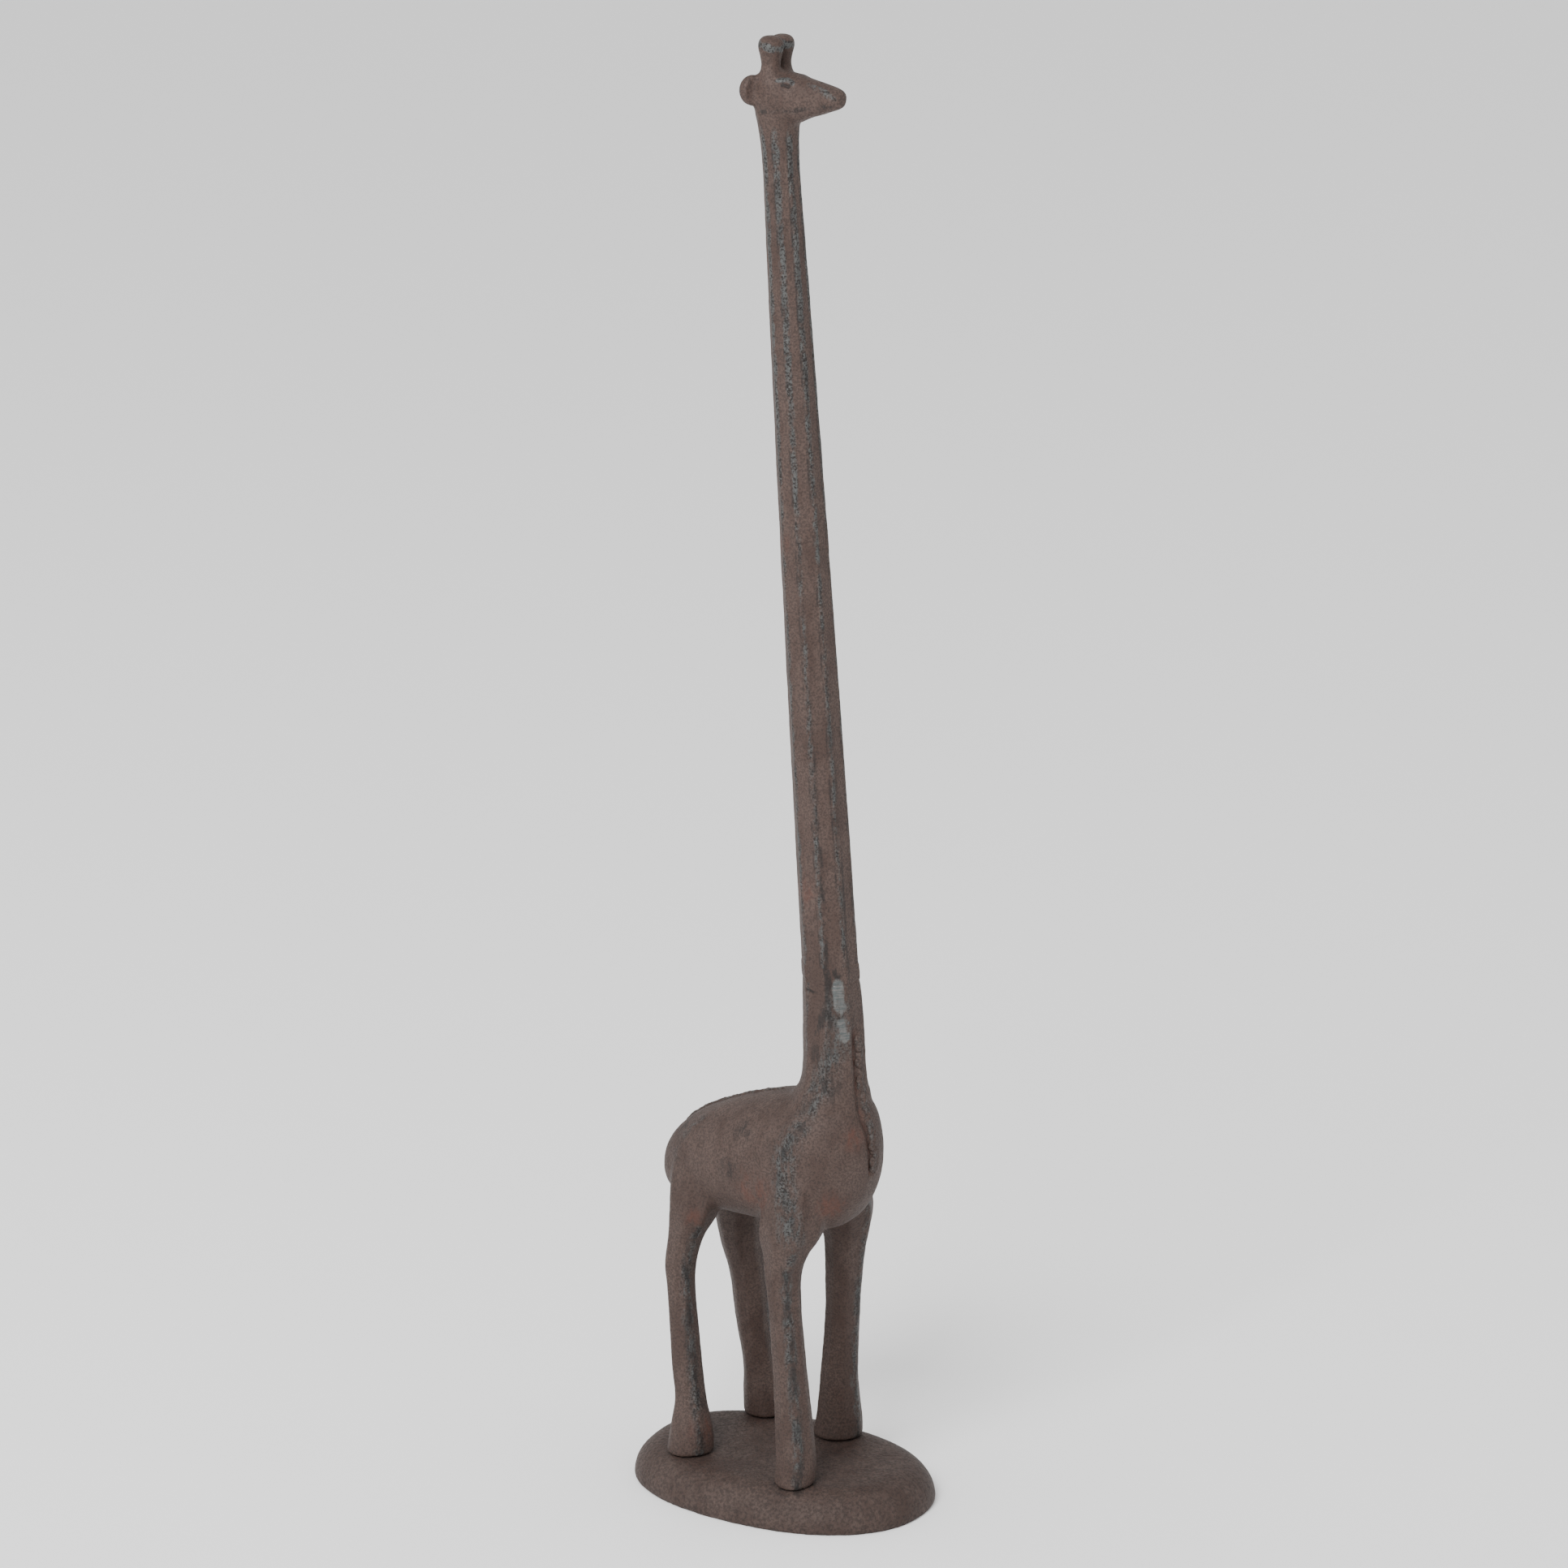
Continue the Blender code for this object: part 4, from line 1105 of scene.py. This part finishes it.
def sand_grain_group():
    """Pebbly grain left by moulding sand, with the patches and upright streaks of the wax over it."""
    tree, given, out = new_tree(
        "sand_grain",
        "ShaderNodeTree",
        [("Grain Size", "Float", 0.0009)],
        [(label, "Float") for label in ("Height", *GRAIN_MASKS)],
    )
    place = node(tree, "ShaderNodeTexCoord").outputs["Object"]
    scale = math_node(tree, "DIVIDE", 1.0, given["Grain Size"])
    fine = {"Vector": place, "Scale": scale, "Detail": 3.0, "Roughness": 0.7}
    grain = node(tree, "ShaderNodeTexNoise", fine)
    cells = node(tree, "ShaderNodeTexVoronoi", {"Vector": place, "Scale": times(tree, scale, 0.8)})
    height = plus(tree, grain.outputs[0], times(tree, cells.outputs[0], 0.35))
    patches = texture_noise(tree, stretched(tree, place, (1, 1, 0.5)), 0.011, 4.0, 0.65)
    breaks = texture_noise(tree, stretched(tree, place, (1, 1, 0.4)), 0.0020, 5.0, 0.75)
    smears = texture_noise(tree, stretched(tree, place, (1.3, 1.3, 0.35)), 0.0034, 5.0, 0.72)
    scratches = texture_noise(tree, stretched(tree, place, (0.15, 0.15, 1)), 0.0005, 2.0, 0.6)
    uneven = plus(tree, grain.outputs[0], times(tree, patches, 0.30))
    tree.links.new(height, out["Height"])
    masks = (
        ("Pits", uneven, 0.56, 0.78), ("Patches", patches, 0.36, 0.64), ("Breaks", breaks, 0.36, 0.64),
        ("Smears", smears, 0.38, 0.62), ("Scratches", scratches, 0.40, 0.60),
    )
    for label, noise, low, high in masks:
        tree.links.new(step_mask(tree, noise, low, high), out[label])
    return tree


def iron_colour_group():
    """Waxed brown iron with dark scale and painted shade, rubbed blue-grey edges and painted highlights, rust
    and ground metal.
    """
    tree, given, out = new_tree(
        "iron_colour",
        "ShaderNodeTree",
        [(label, "Color", None) for label in IRON_COLOURS] + [(label, "Float", 0.5) for label in GRAIN_MASKS],
        [("Color", "Color"), ("Roughness", "Float"), ("Metallic", "Float")],
    )

    def marked(name, streaks, low, high):
        """A marked area, broken up into streaks."""
        value = node(tree, "ShaderNodeAttribute", attribute_name=name).outputs["Fac"]
        share = plus(tree, times(tree, given[streaks], 0.80), 0.25)
        return step_mask(tree, times(tree, value, share), low, high)

    # The rubbed mask also holds the painted highlight on the ear rims, and the soot mask the painted shade
    # round the hooves, under the head and in the ears
    rub, soot = marked("rub", "Breaks", 0.16, 0.80), marked("soot", "Smears", 0.16, 0.70)
    rust, bare = marked("rust", "Breaks", 0.10, 0.90), marked("bare", "Breaks", 0.05, 0.50)
    rubbed = mixed(tree, less(tree, 1.0, given["Pits"]), given["Soot"], given["Rubbed"])
    worked = mixed(tree, given["Scratches"], given["Rubbed"], given["Ground"])
    colour = mixed(tree, given["Patches"], given["Iron"], given["Pale Iron"])
    layers = (
        (given["Pits"], 0.48, given["Soot"]), (rust, 0.50, given["Rust"]), (rub, 0.75, rubbed),
        (soot, 0.72, given["Soot"]), (bare, 1.0, worked),
    )
    for mask, share, coat in layers:
        colour = mixed(tree, times(tree, mask, share), colour, coat)
    shine = math_node(tree, "MAXIMUM", times(tree, rub, 0.5), bare)
    roughness = less(tree, 0.62, times(tree, shine, 0.16))
    tree.links.new(colour, out["Color"])
    tree.links.new(plus(tree, roughness, times(tree, given["Pits"], 0.12)), out["Roughness"])
    tree.links.new(times(tree, shine, 0.5), out["Metallic"])
    return tree


def iron_material(name, tint=1.0, bump=0.5, coarse=1.0):
    """Iron from the shared groups, made a little lighter or darker by tint and coarser in its grain."""
    made = bpy.data.materials.get(name)
    if made:
        return made
    look = bpy.context.scene.giraffe_finish
    made = bpy.data.materials.new(name)
    made.use_nodes = True
    tree = made.node_tree
    shader = tree.nodes["Principled BSDF"]
    shader.inputs["Specular IOR Level"].default_value = 0.3
    grain = node(tree, "ShaderNodeGroup", node_tree=kept_tree("sand_grain", sand_grain_group))
    grain.inputs["Grain Size"].default_value = look.grain_size * coarse
    colour = node(tree, "ShaderNodeGroup", node_tree=kept_tree("iron_colour", iron_colour_group))
    for label in IRON_COLOURS:
        value = getattr(look, label.lower().replace(" ", "_"))
        colour.inputs[label].default_value = (*(tint * part for part in value), 1.0)
    for label in GRAIN_MASKS:
        tree.links.new(grain.outputs[label], colour.inputs[label])
    grains = {"Height": grain.outputs["Height"], "Strength": bump, "Distance": 0.4 * MM}
    tree.links.new(node(tree, "ShaderNodeBump", grains).outputs[0], shader.inputs["Normal"])
    for socket, label in (("Base Color", "Color"), ("Roughness", "Roughness"), ("Metallic", "Metallic")):
        tree.links.new(colour.outputs[label], shader.inputs[socket])
    return made


def zinc_material():
    """Plated screw steel with fine turning marks and a dull bloom."""
    made = bpy.data.materials.new("plated_screw_steel")
    made.use_nodes = True
    tree = made.node_tree
    shader = tree.nodes["Principled BSDF"]
    place = node(tree, "ShaderNodeTexCoord").outputs["Object"]
    bloom = texture_noise(tree, place, 0.0012, 3.0)
    colour = mixed(tree, step_mask(tree, bloom, 0.35, 0.7), (0.52, 0.53, 0.55, 1), (0.33, 0.33, 0.31, 1))
    rough = plus(tree, 0.24, times(tree, bloom, 0.25))
    marks = texture_noise(tree, place, 0.0002, 1.0)
    relief = node(tree, "ShaderNodeBump", {"Height": marks, "Strength": 0.15, "Distance": 0.0001})
    shader.inputs["Metallic"].default_value = 1.0
    tree.links.new(colour, shader.inputs["Base Color"])
    tree.links.new(rough, shader.inputs["Roughness"])
    tree.links.new(relief.outputs[0], shader.inputs["Normal"])
    return made


# --- Operators ---


class GIRAFFE_OT_foot(bpy.types.Operator):
    """Domed foot, hollow underneath, with a drilled seat under each hoof"""

    bl_idname = "giraffe.foot"
    bl_label = "Foot"

    def execute(self, context):
        shape = context.scene.giraffe_shape
        foot = fused("foot", foot_shells(), shape.foot_grain)
        soften(foot, 3)
        soften(foot, 6, only_hollows=True)
        metal = iron_material("foot_casting_iron", tint=0.86, bump=0.9, coarse=1.6)
        cast_skin(foot, shape, metal, share=0.8)
        points = points_of(foot)
        points[:, 2] = np.maximum(points[:, 2], 0)
        set_points(foot, points)
        # Painted shadow: the foot's top is darkened round each hoof, where the hooves shade it
        away = np.minimum.reduce([np.linalg.norm(points[:, :2] - sole(leg), axis=1) for leg in LEGS])
        set_attribute(foot, "soot", 0.7 * np.exp(-((away / HOOF_SHADOW_REACH) ** 4)))
        drill(foot, [(*sole(leg), -MM, BASE_TOP + MM, SCREW_HOLE_RADIUS) for leg in LEGS])
        finish_piece(foot, "base_plate")
        return {"FINISHED"}


class GIRAFFE_OT_body(bpy.types.Operator):
    """Hollow body with its four legs, in two halves that meet along the middle"""

    bl_idname = "giraffe.body"
    bl_label = "Body Halves"

    def execute(self, context):
        shape = context.scene.giraffe_shape
        shells = [torso_rings(), stub_rings()] + [leg_rings(leg) for leg in LEGS]
        body = fused("body", shells, shape.body_grain)
        soften(body, 3)
        level = points_of(body)[:, 2]
        above = np.clip((level - BASE_TOP - 6 * MM) / (8 * MM), 0, 1)
        soften(body, shape.fillet_passes, only_hollows=True, where=above)
        soften(body, 2)
        shape_body(body)
        cast_skin(body, shape, iron_material("body_casting_iron"))
        context.scene["giraffe_seam"] = seam_profiles(points_of(body))
        socket = (NECK_FOOT_X, 0, SPIGOT_FLOOR - GAP, JOINT + 2 * MM, SPIGOT_RADIUS + GAP)
        holes = [(*sole(leg), 0, BASE_TOP + SCREW_HOLE_DEPTH, SCREW_HOLE_RADIUS) for leg in LEGS]
        drill(body, [socket] + holes)
        add_hollow(body)
        for side, name in ((-1, "body_right_half"), (1, "body_left_half")):
            finish_piece(half_of(body, name + "_casting", side), name)
        bpy.data.objects.remove(body)
        return {"FINISHED"}


def add_hollow(body):
    """Adds the sealed hollow of the torso as an inner wall, facing inwards."""
    points, faces = skins([torso_rings(TORSO_WALL, 48)])
    inner = bmesh.new()
    spots = [inner.verts.new(point) for point in points]
    for face in faces:
        inner.faces.new([spots[i] for i in face])
    bmesh.ops.recalc_face_normals(inner, faces=inner.faces)
    bmesh.ops.reverse_faces(inner, faces=inner.faces)
    wall = mesh_data("hollow", inner)
    mesh = bmesh.new()
    mesh.from_mesh(body.data)
    mesh.from_mesh(wall)
    mesh.to_mesh(body.data)
    mesh.free()
    bpy.data.meshes.remove(wall)


def seam_line(points, levels, along, across, sign):
    """Outermost places at each level along one axis, on the side given by sign, as (level, place) rows."""
    rows = []
    for level in levels:
        near = points[np.abs(points[:, along] - level) < 0.6 * MM, across]
        if len(near):
            rows.append([float(level), float(sign * (sign * near).max())])
    return rows


def seam_profiles(points):
    """Where the seams run on the middle plane, found on the finished surface."""
    middle = points[np.abs(points[:, 1]) < 0.9 * MM]
    waist = middle[:, 2] > BELLY + TORSO_DEPTH / 2
    front, back = JOINT - 18 * MM, NECK_FOOT_X - NECK_FOOT_FLATS
    rump = TORSO_MIDDLE_X - TORSO_LENGTH / 2 + 2 * MM
    return {
        "chest": seam_line(middle, np.arange(front, front - 52 * MM, -MM), 2, 0, 1),
        "back": seam_line(middle[waist], np.arange(back, rump, -MM), 0, 2, 1),
        "belly": seam_line(middle[~waist], np.arange(rump + 6 * MM, NECK_FOOT_X, MM), 0, 2, -1),
    }


def wander(i, size):
    """Small sideways wander of a hand-made seam."""
    return size * (math.sin(0.9 * i + 0.4) + 0.6 * math.sin(2.3 * i + 1.1))


class GIRAFFE_OT_seam_welds(bpy.types.Operator):
    """Ragged beads along the chest, the back and the belly"""

    bl_idname = "giraffe.seam_welds"
    bl_label = "Seam Welds"

    def execute(self, context):
        shape = context.scene.giraffe_shape
        seams = context.scene["giraffe_seam"].to_dict()
        sunk, aside = CHEST_BEAD_SUNK, CHEST_BEAD_ASIDE
        chest = [(x - sunk, aside + wander(i, 0.5 * MM), z) for i, (z, x) in enumerate(seams["chest"])]
        back, belly = (
            [(x, wander(i, 0.15 * MM), z + lift) for i, (x, z) in enumerate(seams[name])]
            for name, lift in (("back", -BACK_BEAD_SUNK), ("belly", BELLY_BEAD_SUNK))
        )
        beads = (
            ("chest_seam_weld", chest, shape.bead_size, 1.8),
            ("back_seam_weld", back, BACK_BEAD_RADIUS, 1.0),
            ("belly_seam_weld", belly, BELLY_BEAD_RADIUS, 1.0),
        )
        for name, path, radius, raggedness in beads:
            bead = run_tree(
                path_object(name + "_bead", path),
                kept_tree("weld_bead", weld_bead_tree),
                radius=radius, raggedness=raggedness, lump_size=4 * MM, step=0.25 * MM,
                material=iron_material("bead_iron"),
            )
            set_attribute(bead, "rub", np.full(len(bead.data.vertices), 0.55))
            finish_piece(bead, name)
        return {"FINISHED"}


def joint_ring():
    """The weld's closed loop of section, bulging out past the neck and filling the groove inside it."""
    outline = facets(turn(160), 0.10)
    rings = []
    for bend in np.linspace(-1, 1, 21):
        size = NECK_FOOT_FLATS + RING_PROUD - RING_FALL * bend**4
        level = JOINT + bend * RING_HALF
        rings.append(level_ring(outline, neck_middle(level), 0, level, size, size))
    inner = JOINT_CORE + 0.4 * MM
    for level in (JOINT + 0.1 * MM, JOINT - 0.1 * MM):
        rings.append(level_ring(outline, NECK_FOOT_X, 0, level, inner, inner))
    sides, count = len(outline), len(rings)
    faces = []
    for row in range(count):
        here, there = row * sides, (row + 1) % count * sides
        for k in range(sides):
            n = (k + 1) % sides
            faces.append((here + k, here + n, there + n, there + k))
    weld = mesh_object("neck_joint_bead", np.vstack(rings), faces)
    mesh = bmesh.new()
    mesh.from_mesh(weld.data)
    bmesh.ops.recalc_face_normals(mesh, faces=mesh.faces)
    mesh.to_mesh(weld.data)
    mesh.free()
    return weld


class GIRAFFE_OT_joint_weld(bpy.types.Operator):
    """Weld metal in the groove between neck and body"""

    bl_idname = "giraffe.joint_weld"
    bl_label = "Neck Joint Weld"

    def execute(self, context):
        shape = context.scene.giraffe_shape
        weld = joint_ring()
        cast_skin(weld, shape, iron_material("bead_iron"))
        points = points_of(weld)
        set_attribute(weld, "soot", strongest(joint_cracks(points, 0.6 * MM), joint_soot(points)))
        set_attribute(weld, "bare", ground_patches(points))
        finish_piece(weld, "neck_joint_weld")
        return {"FINISHED"}


class GIRAFFE_OT_neck_and_head(bpy.types.Operator):
    """Eight-sided neck with the head, ears and horns cast on, and its spigot"""

    bl_idname = "giraffe.neck_and_head"
    bl_label = "Neck and Head"

    def execute(self, context):
        shape = context.scene.giraffe_shape
        neck, spigot = neck_rings()
        shells = [neck, spigot, skull_rings()]
        for side in (-1, 1):
            shells += [ear_rings(side), horn_rings(side)]
        item = fused("neck_and_head_casting", shells, shape.neck_grain)
        soften(item, 2)
        level = points_of(item)[:, 2]
        above = np.clip((level - NECK_TOP + 14 * MM) / (6 * MM), 0, 1)
        below = np.clip((NECK_TOP + HORN_PLACE[2] + 4 * MM - level) / (3 * MM), 0, 1)
        soften(item, 100, only_hollows=True, where=above * below)
        soften(item, 1)
        shape_neck(item)
        cast_skin(item, shape, iron_material("neck_casting_iron", tint=1.08), share=0.75)
        finish_piece(item, "neck_and_head")
        return {"FINISHED"}


class GIRAFFE_OT_screws(bpy.types.Operator):
    """Plated finish for the four screws and washers under the foot"""

    bl_idname = "giraffe.screws"
    bl_label = "Screws and Washers"

    def execute(self, context):
        zinc = zinc_material()
        for name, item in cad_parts.items():
            if name.startswith(("base_screw", "washer")):
                item.data.materials.clear()
                item.data.materials.append(zinc)
        return {"FINISHED"}


def area_light(name, energy, size, place, target):
    light = bpy.data.lights.new(name, "AREA")
    light.energy = energy
    light.size = size
    item = placed(name, light)
    item.location = place
    item.rotation_euler = (Vector(target) - Vector(place)).to_track_quat("-Z", "Y").to_euler()


class GIRAFFE_OT_stage(bpy.types.Operator):
    """Pale floor, soft light and the camera"""

    bl_idname = "giraffe.stage"
    bl_label = "Stage"

    def execute(self, context):
        stage = context.scene.giraffe_stage
        target = Vector(AIM)
        mesh = bmesh.new()
        bmesh.ops.create_grid(mesh, x_segments=1, y_segments=1, size=12)
        floor = placed("floor", mesh_data("floor", mesh))
        paint = bpy.data.materials.new("floor_paint")
        paint.use_nodes = True
        shader = paint.node_tree.nodes["Principled BSDF"]
        shader.inputs["Base Color"].default_value = (*stage.floor, 1)
        shader.inputs["Roughness"].default_value = 0.9
        floor.data.materials.append(paint)
        world = bpy.data.worlds.new("studio")
        world.use_nodes = True
        background = world.node_tree.nodes["Background"]
        background.inputs["Color"].default_value = (1, 1, 1, 1)
        background.inputs["Strength"].default_value = stage.sky
        context.scene.world = world
        area_light("key", stage.key, 1.0, (0.35, -1.7, 1.7), target)
        area_light("fill", stage.fill, 1.5, (-1.6, -0.9, 1.2), target)
        camera_data = bpy.data.cameras.new("camera")
        camera_data.lens = stage.focal_length
        camera_data.sensor_width = 36
        camera_data.clip_end = 50
        camera = placed("camera", camera_data)
        level, turned = math.cos(stage.pitch), stage.azimuth
        away = Vector((math.sin(turned) * level, -math.cos(turned) * level, math.sin(stage.pitch)))
        camera.location = target + away * stage.distance
        camera.rotation_euler = (-away).to_track_quat("-Z", "Y").to_euler()
        context.scene.camera = camera
        return {"FINISHED"}


class GIRAFFE_PT_panel(bpy.types.Panel):
    bl_idname = "GIRAFFE_PT_panel"
    bl_label = "Giraffe Stand"
    bl_space_type = "VIEW_3D"
    bl_region_type = "UI"
    bl_category = "Giraffe"

    def draw(self, context):
        for operator in OPERATORS:
            self.layout.operator(operator.bl_idname)
        scene = context.scene
        for settings in (scene.giraffe_shape, scene.giraffe_finish, scene.giraffe_stage):
            box = self.layout.box()
            for name in settings.bl_rna.properties.keys():
                if name not in ("rna_type", "name"):
                    box.prop(settings, name)


OPERATORS = (
    GIRAFFE_OT_stage,
    GIRAFFE_OT_foot,
    GIRAFFE_OT_body,
    GIRAFFE_OT_seam_welds,
    GIRAFFE_OT_neck_and_head,
    GIRAFFE_OT_joint_weld,
    GIRAFFE_OT_screws,
)
CLASSES = (GiraffeShape, GiraffeFinish, GiraffeStage, *OPERATORS, GIRAFFE_PT_panel)


def register():
    for item in CLASSES:
        bpy.utils.register_class(item)
    bpy.types.Scene.giraffe_shape = PointerProperty(type=GiraffeShape)
    bpy.types.Scene.giraffe_finish = PointerProperty(type=GiraffeFinish)
    bpy.types.Scene.giraffe_stage = PointerProperty(type=GiraffeStage)


def unregister():
    del bpy.types.Scene.giraffe_shape
    del bpy.types.Scene.giraffe_finish
    del bpy.types.Scene.giraffe_stage
    for item in reversed(CLASSES):
        bpy.utils.unregister_class(item)


def main():
    register()
    for step in ("stage", "foot", "body", "seam_welds", "neck_and_head", "joint_weld", "screws"):
        getattr(bpy.ops.giraffe, step)()


if __name__ == "__main__":
    main()
